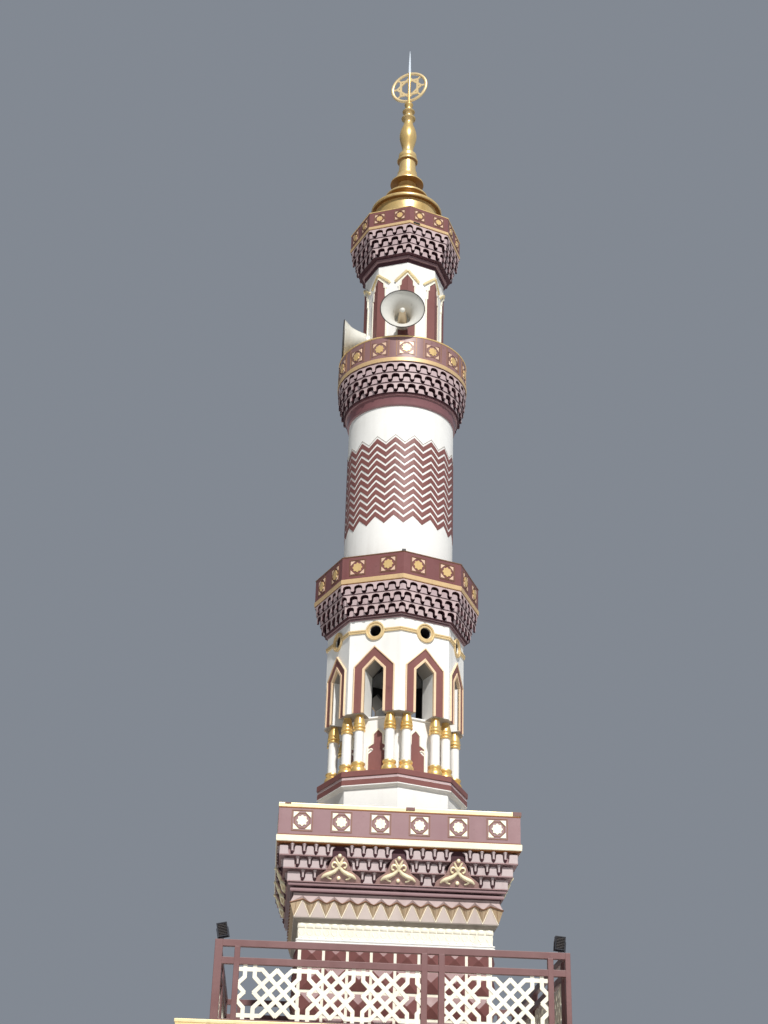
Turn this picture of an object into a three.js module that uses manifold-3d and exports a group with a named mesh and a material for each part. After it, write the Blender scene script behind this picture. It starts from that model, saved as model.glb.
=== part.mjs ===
// Slender octagonal minaret on a square terrace base, millimetres, Z up, front towards -Y
import * as THREE from "three";
import { mergeVertices } from "three/addons/utils/BufferGeometryUtils.js";
import Module from "manifold-3d";

const wasm = await Module();
wasm.setup();

// The tower stands a little to the right of the middle of its terrace
const TOWER_X = 70;

// Base room under the terrace
const BASE_HALF = 1950;
const BASE_WALL = 200;
const FLOOR_HALF = 2050;
const FLOOR_TOP = 150;
const DOOR_HALF_WIDTH = 450;
const DOOR_SHOULDER_Z = 2200;
const DOOR_PEAK_Z = 2430;
const TERRACE_BOTTOM = 3680;
const TERRACE_STEP_Z = 3760;
const TERRACE_TOP = 3880;
const TERRACE_HALF = 2050;
const TERRACE_STEP = 50;

// Terrace railing of square steel tube with lattice infill
const RAIL_HALF = 1750;
const RAIL_TOP = 4692;
const CORNER_POST = 78;
const CORNER_DEPTH = 52;
const RAIL_DEPTH = 60;
const TOP_RAIL_BOTTOM = 4627;
const SECOND_RAIL = [4459, 4524];
const FOOT_RAIL = [3905, 3945];
const INNER_POSTS = [[-1556, -1500], [275, 335], [445, 505], [1524, 1580]];
const LATTICE_PANELS = [[-1500, 275], [505, 1524]];
const LATTICE_BAR = 36;
const LATTICE_DEPTH = 24;
const LATTICE_PITCH = 354;

// Floodlights on the front corners of the railing
const LAMP_LEFT = { name: "lamp_left", x: -1687, lean: -12 };
const LAMP_RIGHT = { name: "lamp_right", x: 1653, lean: 5 };
const LAMP_SIZE = [104, 76, 138];
const LAMP_Z = 4784;
const LAMP_STEM = 26;

// Square shaft and its cornice
const SHAFT_HALF = 1000;
const SHAFT_WALL = 150;
const SHAFT_TOP = 4827;
const FRIEZE_HALF = 1022;
const FRIEZE_MOULD_HALF = 1030;
const FRIEZE_MOULD_TOP = 4877;
const FRIEZE_TOP = 5042;
const TEETH_BOTTOM = 5079;
const TEETH_TOP = 5280;
const TEETH_HALF = 1060;
const COVE_TOP = 5331;
const COVE_HALF = 1073;
const MOULD_TOP = 5430;
const MOULD_LOW_HALF = 1116;
const MOULD_HIGH_HALF = 1138;
const SQUARE_TIERS = [[5559, 1153], [5683, 1202], [5806, 1248]];
const SQUARE_BAND_TOP = 5878;
const SQUARE_BAND_HALF = 1287;
const SQUARE_PARAPET_TOP = 6217;
const SQUARE_PARAPET_HALF = 1275;
const SQUARE_PARAPET_WALL = 110;

// Octagonal plinth and the colonnade above it
const OCT_R = 815;
const OCT_WALL = 120;
const PLINTH_TOP = 6590;
const CORNICE_BOTTOM = 6618;
const CORNICE_R = 858;
const CORNICE_STRIP_R = 850;
const CORNICE_STRIP = [6694, 6723];
const CORNICE_TOP = 6785;
const CORE_R = 590;
const CORE_WALL = 110;
const CORE_TOP = 7474;
const CORE_ROOF = 60;
const COLUMN_RING_R = 700;
const COLUMN_SPACING = 186;
const COLUMN_SIDES = 10;
const COLUMN_PLATE = 12;

// Window storey
const STOREY_BOTTOM = CORE_TOP;
const JAMB_DEPTH = 290;
const JAMB_TOP = 8180;
const STOREY_TOP = 8604;
const WINDOW_HALF_WIDTH = 114;
const WINDOW_SHOULDER_Z = 7988;
const WINDOW_PEAK_Z = 8107;
const EYE_Z = 8458;
const EYE_R = 68;
const PANEL_GAP = 0.15;

// Lower octagonal balcony
const LOWER_MOULD_TOP = 8645;
const LOWER_MOULD_R = 832;
const LOWER_TIERS = [[8766, 872], [8888, 922], [9009, 968]];
const LOWER_BAND_TOP = 9074;
const LOWER_BAND_R = 1000;
const LOWER_PARAPET_TOP = 9362;
const LOWER_PARAPET_R = 993;
const PARAPET_WALL = 90;

// Round drum and round balcony
const DRUM_R = 668;
const DRUM_WALL = 110;
const DRUM_TOP = 11520;
const ROUND_COVE_TOP = 11632;
const ROUND_COVE_R = 694;
const ROUND_MOULD_TOP = 11660;
const ROUND_MOULD_R = 745;
const ROUND_TIERS = [[11794, 766], [11927, 796], [12064, 822]];
const ROUND_BAND_TOP = 12131;
const ROUND_BAND_R = 838;
const ROUND_PARAPET_TOP = 12454;
const ROUND_PARAPET_R = 830;
const ROUND_SIDES = 36;

// Octagonal top storey and top balcony
const TOP_R = 528;
const TOP_WALL = 100;
const TOP_TOP = 13812;
const TOP_MOULD_TOP = 13902;
const TOP_MOULD_R = 572;
const TOP_TIERS = [[14030, 634], [14158, 678], [14286, 722]];
const TOP_BAND_TOP = 14335;
const TOP_BAND_R = 752;
const TOP_PARAPET_TOP = 14572;
const TOP_PARAPET_R = 746;

// Dome and finial
const DOME_SIDES = 28;
const FINIAL_SIDES = 16;
const ROD_R = 17;
const EMBLEM_Z = 17300;
const EMBLEM_R = 278;
const EMBLEM_BAND = 22;
const EMBLEM_TURN = -22.5;
const SPIKE_TOP = 17996;

// Loudspeaker horns
const HORN_R = 283;
const HORN_LENGTH = 300;
const HORN_HOUSING = 70;
const HORN_SIDES = 24;
const FRONT_HORN = { x: -84, y: -947, z: 12780, turn: -4 };
const LEFT_HORN = { x: -800, y: -120, z: 12775, turn: -90 };

const COLOURS = {
  mauve: { color: 0x8d6163, roughness: 0.6, metalness: 0 },
  white: { color: 0xe9e7e2, roughness: 0.7, metalness: 0 },
  cream: { color: 0xe8dfbb, roughness: 0.7, metalness: 0 },
  pink: { color: 0xc4a7a4, roughness: 0.7, metalness: 0 },
  gold: { color: 0xc79b45, roughness: 0.35, metalness: 0.8 },
  steel: { color: 0x8a5f5f, roughness: 0.5, metalness: 0.2 },
  horn: { color: 0xdedfd9, roughness: 0.45, metalness: 0.1 },
  black: { color: 0x17181b, roughness: 0.5, metalness: 0.3 },
  plaster: { color: 0xd9d3c6, roughness: 0.85, metalness: 0 },
};

const part = new THREE.Group();
part.name = "minaret";

// A closed solid from a three.js geometry, turned right side out
function solid(geometry) {
  const bare = geometry.clone();
  bare.deleteAttribute("normal");
  bare.deleteAttribute("uv");
  const merged = mergeVertices(bare, 1e-3);
  const place = merged.attributes.position.array;
  const corner = (i) => new THREE.Vector3(place[3 * i], place[3 * i + 1], place[3 * i + 2]);
  const kept = [];
  let volume = 0;
  for (let t = 0; t < merged.index.count; t += 3) {
    const [a, b, c] = [0, 1, 2].map((k) => merged.index.getX(t + k));
    if (a === b || b === c || c === a) continue;
    kept.push([a, b, c]);
    volume += corner(a).dot(corner(b).cross(corner(c)));
  }
  const order = volume < 0 ? kept.map(([a, b, c]) => [a, c, b]) : kept;
  const mesh = new wasm.Mesh({
    numProp: 3,
    vertProperties: new Float32Array(place),
    triVerts: new Uint32Array(order.flat()),
  });
  return new wasm.Manifold(mesh);
}

function union(list) {
  return list.reduce((sum, item) => sum.add(item));
}

// Adds one named solid to the part
function add(name, body, colour, offsetX = TOWER_X) {
  const data = body.getMesh();
  const geometry = new THREE.BufferGeometry();
  const places = new Float32Array((data.vertProperties.length / data.numProp) * 3);
  for (let i = 0; i < places.length / 3; i += 1) {
    for (let k = 0; k < 3; k += 1) places[3 * i + k] = data.vertProperties[i * data.numProp + k];
  }
  geometry.setAttribute("position", new THREE.BufferAttribute(places, 3));
  geometry.setIndex(new THREE.BufferAttribute(new Uint32Array(data.triVerts), 1));
  geometry.translate(offsetX, 0, 0);
  geometry.computeVertexNormals();
  const mesh = new THREE.Mesh(geometry, new THREE.MeshStandardMaterial(COLOURS[colour]));
  mesh.name = name;
  part.add(mesh);
}

function box(x, y, z) {
  const geometry = new THREE.BoxGeometry(x[1] - x[0], y[1] - y[0], z[1] - z[0]);
  geometry.translate((x[0] + x[1]) / 2, (y[0] + y[1]) / 2, (z[0] + z[1]) / 2);
  return solid(geometry);
}

// A profile of [radius, z] turned round the tower axis with the given number of sides
function turned(profile, sides, start = 0) {
  const points = profile.map(([r, z]) => new THREE.Vector2(r, z));
  const geometry = new THREE.LatheGeometry(points, sides, start);
  geometry.rotateX(Math.PI / 2);
  return solid(geometry);
}

// Octagons stand with a corner to the front, squares with a flat face to the front
function octagonal(profile) {
  return turned(profile, 8);
}

function square(profile) {
  const corners = profile.map(([half, z]) => [half * Math.SQRT2, z]);
  return turned(corners, 4, Math.PI / 4);
}

// A hollow ring: outer profile from bottom to top, inner wall straight
function ringProfile(outer, innerRadius) {
  const bottom = outer[0][1];
  const top = outer[outer.length - 1][1];
  const loop = [[innerRadius, bottom], ...outer, [innerRadius, top]];
  return [...loop, loop[0]];
}

// The stepped underside of a balcony with its floor slab, closed over the middle
function corbelProfile(start, tiers, bandRadius, bandTop, throatRadius, ceiling) {
  const outer = [start[0]];
  for (const point of start.slice(1)) outer.push(point);
  let level = start[start.length - 1][1];
  for (const [top, radius] of tiers) {
    outer.push([radius, level], [radius, top]);
    level = top;
  }
  outer.push([bandRadius, level], [bandRadius, bandTop]);
  return [[0, ceiling], [throatRadius, ceiling], [throatRadius, start[0][1]], ...outer, [0, bandTop]];
}

// A prism standing along -Y, its outline given in x and z
function wallPrism(outline, y) {
  const shape = new THREE.Shape(outline.map(([x, z]) => new THREE.Vector2(x, z)));
  const geometry = new THREE.ExtrudeGeometry(shape, { depth: y[1] - y[0], bevelEnabled: false });
  geometry.rotateX(Math.PI / 2);
  geometry.translate(0, y[1], 0);
  return solid(geometry);
}

function gabledOutline(halfWidth, bottom, shoulder, peak) {
  return [[-halfWidth, bottom], [halfWidth, bottom], [halfWidth, shoulder], [0, peak], [-halfWidth, shoulder]];
}

function turnedAbout(body, degrees) {
  return body.rotate([0, 0, degrees]);
}

// Base room
function buildBase() {
  add("base_floor", box([-FLOOR_HALF, FLOOR_HALF], [-FLOOR_HALF, FLOOR_HALF], [0, FLOOR_TOP]), "plaster", 0);
  const height = [FLOOR_TOP, TERRACE_BOTTOM];
  const inner = BASE_HALF - BASE_WALL;
  const frontSeam = -inner;
  const shell = box([-BASE_HALF, BASE_HALF], [frontSeam, BASE_HALF], height);
  const room = box([-inner, inner], [frontSeam - 1, inner], [FLOOR_TOP - 1, TERRACE_BOTTOM + 1]);
  add("base_wall_rear", shell.subtract(room), "plaster", 0);
  const front = box([-BASE_HALF, BASE_HALF], [-BASE_HALF, frontSeam], height);
  const doorOutline = gabledOutline(DOOR_HALF_WIDTH, FLOOR_TOP - 1, DOOR_SHOULDER_Z, DOOR_PEAK_Z);
  const doorway = wallPrism(doorOutline, [-BASE_HALF - 1, frontSeam + 1]);
  add("base_wall_front", front.subtract(doorway), "plaster", 0);
  const slabProfile = [
    [0, TERRACE_BOTTOM], [TERRACE_HALF - TERRACE_STEP, TERRACE_BOTTOM],
    [TERRACE_HALF - TERRACE_STEP, TERRACE_STEP_Z], [TERRACE_HALF, TERRACE_STEP_Z],
    [TERRACE_HALF, TERRACE_TOP], [0, TERRACE_TOP],
  ];
  add("terrace_slab", square(slabProfile), "cream", 0);
}

// Crossing diagonal bars that fill one opening of the railing
function lattice(span, height, y) {
  const reach = (height[1] - height[0]) * 1.5;
  const middle = (height[0] + height[1]) / 2;
  const bars = [];
  for (let x = span[0] - LATTICE_PITCH; x < span[1] + LATTICE_PITCH; x += LATTICE_PITCH) {
    for (const lean of [-1, 1]) {
      const bar = new THREE.BoxGeometry(LATTICE_BAR, y[1] - y[0], 2 * reach);
      bar.rotateY((lean * Math.PI) / 4);
      bar.translate(x, (y[0] + y[1]) / 2, middle);
      bars.push(solid(bar));
    }
  }
  const bounds = box([span[0] - 1, span[1] + 1], y, [height[0] - 1, height[1] + 1]);
  return union(bars).intersect(bounds);
}

// One flat side of the railing, its right hand corner post belonging to the next side
function railingSide() {
  const y = [-RAIL_HALF, -RAIL_HALF + RAIL_DEPTH];
  const cornerY = [-RAIL_HALF, -RAIL_HALF + CORNER_DEPTH];
  const end = RAIL_HALF - CORNER_DEPTH - 0.3;
  const pieces = [box([-RAIL_HALF, -RAIL_HALF + CORNER_POST], cornerY, [TERRACE_TOP, RAIL_TOP])];
  for (const post of INNER_POSTS) pieces.push(box(post, y, [TERRACE_TOP, TOP_RAIL_BOTTOM + 10]));
  for (const rail of [[TOP_RAIL_BOTTOM, RAIL_TOP], SECOND_RAIL, FOOT_RAIL]) {
    pieces.push(box([-RAIL_HALF + CORNER_POST - 1, end], y, rail));
  }
  const middle = (y[0] + y[1]) / 2;
  const latticeY = [middle - LATTICE_DEPTH / 2, middle + LATTICE_DEPTH / 2];
  for (const span of LATTICE_PANELS) {
    pieces.push(lattice(span, [FOOT_RAIL[1], SECOND_RAIL[0]], latticeY));
  }
  return union(pieces);
}

function buildRailing() {
  const sides = { front: 0, right: 90, back: 180, left: 270 };
  for (const [side, turn] of Object.entries(sides)) {
    add(`railing_${side}`, turnedAbout(railingSide(), turn), "steel", 0);
  }
}

function buildLamps() {
  const half = LAMP_SIZE.map((size) => size / 2);
  const y = -RAIL_HALF + RAIL_DEPTH / 2;
  for (const lamp of [LAMP_LEFT, LAMP_RIGHT]) {
    const head = box([-half[0], half[0]], [-half[1], half[1]], [-half[2], half[2]])
      .rotate([0, lamp.lean, 0])
      .translate([lamp.x, y, LAMP_Z]);
    const stem = box([lamp.x - LAMP_STEM / 2, lamp.x + LAMP_STEM / 2], [y - 20, y + 20], [RAIL_TOP, LAMP_Z]);
    add(lamp.name, head.add(stem), "black", 0);
  }
}

// Square shaft, frieze, folded course and square balcony
function buildSquareStage() {
  const inner = SHAFT_HALF - SHAFT_WALL;
  add("tile_shaft", square(ringProfile([[SHAFT_HALF, TERRACE_TOP], [SHAFT_HALF, SHAFT_TOP]], inner)), "mauve");
  const frieze = [
    [FRIEZE_MOULD_HALF, SHAFT_TOP], [FRIEZE_MOULD_HALF, FRIEZE_MOULD_TOP],
    [FRIEZE_HALF, FRIEZE_MOULD_TOP], [FRIEZE_HALF, FRIEZE_TOP],
  ];
  add("carved_frieze", square(ringProfile(frieze, inner)), "cream");
  const teeth = [[FRIEZE_HALF, FRIEZE_TOP], [TEETH_HALF, TEETH_BOTTOM], [TEETH_HALF, TEETH_TOP]];
  add("folded_course", square(ringProfile(teeth, inner)), "pink");
  const start = [
    [COVE_HALF, TEETH_TOP], [COVE_HALF, COVE_TOP], [MOULD_LOW_HALF, COVE_TOP],
    [MOULD_LOW_HALF, (COVE_TOP + MOULD_TOP) / 2], [MOULD_HIGH_HALF, (COVE_TOP + MOULD_TOP) / 2],
    [MOULD_HIGH_HALF, MOULD_TOP],
  ];
  const ceiling = SQUARE_TIERS[1][0];
  const corbel = corbelProfile(start, SQUARE_TIERS, SQUARE_BAND_HALF, SQUARE_BAND_TOP, inner, ceiling);
  add("square_corbel", square(corbel), "mauve");
  const parapet = [[SQUARE_PARAPET_HALF, SQUARE_BAND_TOP], [SQUARE_PARAPET_HALF, SQUARE_PARAPET_TOP]];
  add("square_parapet", square(ringProfile(parapet, SQUARE_PARAPET_HALF - SQUARE_PARAPET_WALL)), "mauve");
}

// Profile of one column with its moulded base and bell capital
const COLUMN_PROFILE = [
  [0, CORNICE_TOP], [80, CORNICE_TOP], [80, 6822], [66, 6878], [66, 6914], [54, 6918], [54, 7283],
  [67, 7290], [67, 7344], [37, 7425], [34, STOREY_BOTTOM], [0, STOREY_BOTTOM],
];

function columnPair(turn) {
  const columns = [-1, 1].map((side) => {
    const column = turned(COLUMN_PROFILE, COLUMN_SIDES);
    return column.translate([(side * COLUMN_SPACING) / 2, -COLUMN_RING_R, 0]);
  });
  const halfPlate = COLUMN_SPACING / 2 + 78;
  const plateY = [-COLUMN_RING_R - 78, -COLUMN_RING_R + 78];
  const foot = box([-halfPlate, halfPlate], plateY, [CORNICE_TOP, CORNICE_TOP + COLUMN_PLATE]);
  return turnedAbout(union([...columns, foot]), turn);
}

// A flat piece of the storey's wall, its ends cut so that eight of them close the octagon
function wallPiece(thickness, z) {
  const apothem = OCT_R * Math.cos(Math.PI / 8);
  const slope = Math.tan(Math.PI / 8);
  const outerHalf = apothem * slope - PANEL_GAP;
  const innerHalf = (apothem - thickness) * slope - PANEL_GAP;
  const plan = new THREE.Shape([
    new THREE.Vector2(-outerHalf, -apothem), new THREE.Vector2(outerHalf, -apothem),
    new THREE.Vector2(innerHalf, -apothem + thickness), new THREE.Vector2(-innerHalf, -apothem + thickness),
  ]);
  const geometry = new THREE.ExtrudeGeometry(plan, { depth: z[1] - z[0], bevelEnabled: false });
  geometry.translate(0, 0, z[0]);
  return solid(geometry);
}

// One panel of the window storey: a deep gabled slot open at its foot, and a round hole above
function windowPanel(turn) {
  const apothem = OCT_R * Math.cos(Math.PI / 8);
  const jambs = wallPiece(JAMB_DEPTH, [STOREY_BOTTOM, JAMB_TOP]);
  const head = wallPiece(OCT_WALL, [JAMB_TOP, STOREY_TOP]);
  const outline = gabledOutline(WINDOW_HALF_WIDTH, STOREY_BOTTOM - 1, WINDOW_SHOULDER_Z, WINDOW_PEAK_Z);
  const slot = wallPrism(outline, [-apothem - 1, -apothem + JAMB_DEPTH + 1]);
  const eye = new THREE.CylinderGeometry(EYE_R, EYE_R, OCT_WALL + 2, 16);
  eye.translate(0, -apothem + OCT_WALL / 2, EYE_Z);
  return turnedAbout(jambs.add(head).subtract(slot).subtract(solid(eye)), turn);
}

function buildOctagonStage() {
  const inner = OCT_R - OCT_WALL;
  const roof = PLINTH_TOP - 80;
  const plinth = [
    [0, roof], [inner, roof], [inner, SQUARE_BAND_TOP], [OCT_R, SQUARE_BAND_TOP], [OCT_R, PLINTH_TOP],
    [CORNICE_STRIP_R, CORNICE_BOTTOM], [CORNICE_R, CORNICE_BOTTOM], [CORNICE_R, CORNICE_STRIP[0]],
    [CORNICE_STRIP_R, CORNICE_STRIP[0]], [CORNICE_STRIP_R, CORNICE_STRIP[1]], [CORNICE_R, CORNICE_STRIP[1]],
    [CORNICE_R, CORNICE_TOP], [0, CORNICE_TOP],
  ];
  add("octagon_plinth", octagonal(plinth), "white");
  const coreInner = CORE_R - CORE_WALL;
  const core = [
    [coreInner, CORNICE_TOP], [CORE_R, CORNICE_TOP], [CORE_R, CORE_TOP], [0, CORE_TOP],
    [0, CORE_TOP - CORE_ROOF], [coreInner, CORE_TOP - CORE_ROOF], [coreInner, CORNICE_TOP],
  ];
  add("niche_core", octagonal(core), "white");
  for (let k = 0; k < 8; k += 1) add(`column_pair_${k + 1}`, columnPair(45 * k), "white");
  for (let k = 0; k < 8; k += 1) add(`window_panel_${k + 1}`, windowPanel(45 * k + 22.5), "white");
  const start = [[LOWER_MOULD_R, STOREY_TOP], [LOWER_MOULD_R, LOWER_MOULD_TOP]];
  const corbel = corbelProfile(start, LOWER_TIERS, LOWER_BAND_R, LOWER_BAND_TOP, inner, LOWER_TIERS[1][0]);
  add("lower_corbel", octagonal(corbel), "mauve");
  const parapet = [[LOWER_PARAPET_R, LOWER_BAND_TOP], [LOWER_PARAPET_R, LOWER_PARAPET_TOP]];
  add("lower_parapet", octagonal(ringProfile(parapet, LOWER_PARAPET_R - PARAPET_WALL)), "mauve");
}

function buildDrumStage() {
  const inner = DRUM_R - DRUM_WALL;
  const drum = [[DRUM_R, LOWER_BAND_TOP], [DRUM_R, DRUM_TOP]];
  add("drum", turned(ringProfile(drum, inner), ROUND_SIDES), "white");
  const start = [
    [DRUM_R, DRUM_TOP], [ROUND_COVE_R, DRUM_TOP + 10], [ROUND_COVE_R, ROUND_COVE_TOP],
    [ROUND_MOULD_R, ROUND_COVE_TOP],
    [ROUND_MOULD_R, ROUND_MOULD_TOP],
  ];
  const corbel = corbelProfile(start, ROUND_TIERS, ROUND_BAND_R, ROUND_BAND_TOP, inner, ROUND_TIERS[1][0]);
  add("round_corbel", turned(corbel, ROUND_SIDES), "mauve");
  const parapet = [[ROUND_PARAPET_R, ROUND_BAND_TOP], [ROUND_PARAPET_R, ROUND_PARAPET_TOP]];
  add("round_parapet", turned(ringProfile(parapet, ROUND_PARAPET_R - PARAPET_WALL), ROUND_SIDES), "mauve");
}

function buildTopStage() {
  const inner = TOP_R - TOP_WALL;
  const shaft = [[TOP_R, ROUND_BAND_TOP], [TOP_R, TOP_TOP]];
  add("top_shaft", octagonal(ringProfile(shaft, inner)), "white");
  const start = [[TOP_R, TOP_TOP], [TOP_MOULD_R, TOP_TOP + 40], [TOP_MOULD_R, TOP_MOULD_TOP]];
  const corbel = corbelProfile(start, TOP_TIERS, TOP_BAND_R, TOP_BAND_TOP, inner, TOP_TIERS[1][0]);
  add("top_corbel", octagonal(corbel), "mauve");
  const parapet = [[TOP_PARAPET_R, TOP_BAND_TOP], [TOP_PARAPET_R, TOP_PARAPET_TOP]];
  add("top_parapet", octagonal(ringProfile(parapet, TOP_PARAPET_R - PARAPET_WALL)), "mauve");
}

// Stepped bell dome, from the roof up to the foot of the finial
const DOME_OUTER = [
  [390, 14335], [390, 14965], [480, 14968], [488, 14976], [488, 15008], [470, 15022], [300, 15130], [235, 15162],
  [235, 15176], [250, 15215], [300, 15236], [300, 15264], [285, 15282], [140, 15390], [126, 15430], [124, 15500],
];

// Turned finial: flared foot, cylinder, collars, bulb, rod and spike
const FINIAL_PROFILE = [
  [0, 15500], [228, 15500], [230, 15524], [222, 15534], [190, 15562], [155, 15622], [136, 15690], [136, 15712],
  [125, 15720], [114, 15905], [146, 15925], [143, 15945], [122, 15968], [128, 15985], [124, 16040],
  [90, 16070], [77, 16127], [88, 16200], [110, 16290], [121, 16382], [112, 16460], [84, 16550],
  [56, 16620], [50, 16640], [101, 16672], [101, 16712], [60, 16745], [48, 16785], [89, 16806],
  [89, 16842], [50, 16870], [40, 16915], [61, 16937], [61, 16985], [30, 17005], [ROD_R, 17020],
  [ROD_R, 17574], [12, 17620], [4, SPIKE_TOP], [0, SPIKE_TOP],
];

// Upright ring crossed by an eight-pointed star, split into left and right of the rod
function emblem() {
  const ring = new THREE.TorusGeometry(EMBLEM_R - EMBLEM_BAND, EMBLEM_BAND, 6, 28);
  ring.rotateX(Math.PI / 2);
  const pieces = [solid(ring)];
  const star = [];
  for (let k = 0; k < 16; k += 1) {
    const radius = k % 2 === 0 ? 168 : 124;
    const angle = (k * Math.PI) / 8;
    star.push([radius * Math.cos(angle), radius * Math.sin(angle)]);
  }
  const plate = wallPrism(star, [-9, 9]);
  const centre = new THREE.CylinderGeometry(78, 78, 40, 16);
  pieces.push(plate.subtract(solid(centre)));
  for (const turn of [45, 135]) {
    const spoke = new THREE.BoxGeometry(2 * EMBLEM_R - 40, 14, 20);
    spoke.rotateY((turn * Math.PI) / 180);
    pieces.push(solid(spoke).subtract(solid(centre)));
  }
  const rod = new THREE.CylinderGeometry(ROD_R + 0.3, ROD_R + 0.3, 4 * EMBLEM_R, 16);
  rod.rotateX(Math.PI / 2);
  return union(pieces).subtract(solid(rod)).rotate([0, 0, EMBLEM_TURN]).translate([0, 0, EMBLEM_Z]);
}

function buildDome() {
  const wall = 60;
  const inner = DOME_OUTER[0][0] - wall;
  const profile = [[0, 15040], [180, 15040], [inner, 14920], [inner, TOP_BAND_TOP], ...DOME_OUTER, [0, 15500]];
  add("dome", turned(profile, DOME_SIDES), "gold");
  add("finial", turned(FINIAL_PROFILE, FINIAL_SIDES), "gold");
  add("emblem", emblem(), "gold");
}

// A reflex horn: flared bell, inner cone, driver housing and a bracket back to the shaft
function horn(place, bracketLength) {
  const bell = [
    [0, 36], [26, 38], [34, 54], [46, 130], [60, 250], [62, 292], [98, 292], [145, 192], [182, 118], [226, 54],
    [HORN_R - 10, 2], [HORN_R, 0], [HORN_R, 10], [236, 58], [192, 122], [155, 196], [122, 285],
    [112, HORN_LENGTH], [90, HORN_LENGTH], [90, HORN_LENGTH + HORN_HOUSING], [0, HORN_LENGTH + HORN_HOUSING],
  ];
  const body = turned(bell, HORN_SIDES).rotate([-90, 0, 0]);
  const arm = box([-30, 30], [HORN_LENGTH + HORN_HOUSING - 20, HORN_LENGTH + bracketLength], [-30, 30]);
  return body.add(arm).rotate([0, 0, place.turn]).translate([place.x, place.y, place.z]);
}

function buildHorns() {
  const seat = TOP_R + 0.2;
  const keepOff = octagonal([[0, ROUND_BAND_TOP], [seat, ROUND_BAND_TOP], [seat, TOP_TOP], [0, TOP_TOP]]);
  add("horn_front", horn(FRONT_HORN, 200).subtract(keepOff), "horn");
  add("horn_left", horn(LEFT_HORN, 120).subtract(keepOff), "horn");
}

buildBase();
buildRailing();
buildLamps();
buildSquareStage();
buildOctagonStage();
buildDrumStage();
buildTopStage();
buildDome();
buildHorns();

export default part;
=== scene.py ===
import math

import bmesh
import bpy
from mathutils import Matrix, Vector


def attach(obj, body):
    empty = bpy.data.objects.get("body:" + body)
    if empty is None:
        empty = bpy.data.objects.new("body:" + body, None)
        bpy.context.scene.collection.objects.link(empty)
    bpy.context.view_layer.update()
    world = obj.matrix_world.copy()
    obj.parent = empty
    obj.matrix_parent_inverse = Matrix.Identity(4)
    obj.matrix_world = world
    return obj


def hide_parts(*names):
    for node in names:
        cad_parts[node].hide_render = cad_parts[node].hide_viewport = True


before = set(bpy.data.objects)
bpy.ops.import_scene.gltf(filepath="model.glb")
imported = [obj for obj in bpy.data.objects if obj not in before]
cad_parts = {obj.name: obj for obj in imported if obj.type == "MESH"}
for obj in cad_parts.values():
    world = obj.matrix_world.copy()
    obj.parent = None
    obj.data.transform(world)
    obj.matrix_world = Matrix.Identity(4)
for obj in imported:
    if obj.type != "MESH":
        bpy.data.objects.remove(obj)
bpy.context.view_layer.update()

# The tower's axis on its terrace
TOWER_X = 0.07
TOWER = (TOWER_X, 0.0)
COS_EIGHTH = math.cos(math.pi / 8)
SIN_EIGHTH = math.sin(math.pi / 8)
ROUND_SIDES = 96

# Camera fitted to the photograph
CAMERA_PLACE = (-1.1125, -17.159, 1.6)
CAMERA_HEADING = 3.31196
CAMERA_PITCH = 27.0004
CAMERA_ROLL = 1.65653
FOCAL_PIXELS = 1543.2157
IMAGE_HEIGHT = 1024
SENSOR = 36.0

# Base, terrace and railing
BASE_HALF = 1.95
BASE_WALL = (0.15, 3.68)
PAVING = 0.41
PAVING_ROWS = 10
PAVING_JOINT = 0.004
TERRACE_HALF = 2.05
TERRACE_TOP = 3.88
RAIL_HALF = 1.75
RAIL_TOP = 4.692
TOP_RAIL = (4.627, 4.692)
SECOND_RAIL = (4.459, 4.524)
FOOT_RAIL = (3.905, 3.945)
CORNER_POST = 0.078
CORNER_DEPTH = 0.052
RAIL_DEPTH = 0.06
INNER_POSTS = [(-1.556, -1.5), (0.275, 0.335), (0.445, 0.505), (1.524, 1.58)]
LATTICE_PANELS = [(-1.5, 0.275, -1.393), (0.505, 1.524, 0.361)]
LATTICE_MIDDLE = 4.2
LAMP_Z = 4.784
LATTICE_PITCH = 0.5277
LATTICE_NECK = 0.0475
LATTICE_BAR = 0.02

# Square stage
SQUARE_INNER = 0.86
SHAFT_HALF = 1.0
TILE_PITCH = 0.2454
GROUT = 0.015
TILE_SEAMS = [3.88, 4.112, 4.357, 4.601, 4.827]
FRIEZE = (4.877, 5.042)
FRIEZE_ARCHES = 24
FOLD_BOTTOM = 5.079
FOLD_PEAK = 5.268
FOLD_RIDGE = 5.22
FOLD_REACH = 0.048
TEETH_HALF = 1.06
TEETH_COUNT = 13
COVE_TOP = 5.333
SQUARE_ROWS = [(5.434, 5.559, 1.153), (5.559, 5.683, 1.202), (5.683, 5.806, 1.248)]
CELL_PITCH = 0.1238
ORNAMENT_SPACING = 5 * CELL_PITCH
SQUARE_BAND = (5.806, 5.878, 1.287)
SQUARE_PARAPET = (5.878, 6.217, 1.275)

# Octagonal stage
OCT_R = 0.815
PLINTH_INNER = 0.8
CORNICE = (6.618, 6.694, 6.723, 6.785)
CORE_R = 0.59
COLUMN_RING = 0.70
COLUMN_SPACING = 0.186
STOREY_BOTTOM = 7.474
PIER_SOFFIT = (7.4705, 7.4765)
ROOM_R = 0.503
EYE_Z = 8.458
LOWER_INNER = 0.7
LOWER_ROWS = [(8.645, 8.766, 0.872), (8.766, 8.888, 0.922), (8.888, 9.009, 0.968)]
LOWER_BAND = (9.009, 9.074, 1.0)
LOWER_PARAPET = (9.074, 9.362, 0.993)
PARAPET_WALL = 0.09

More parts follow.
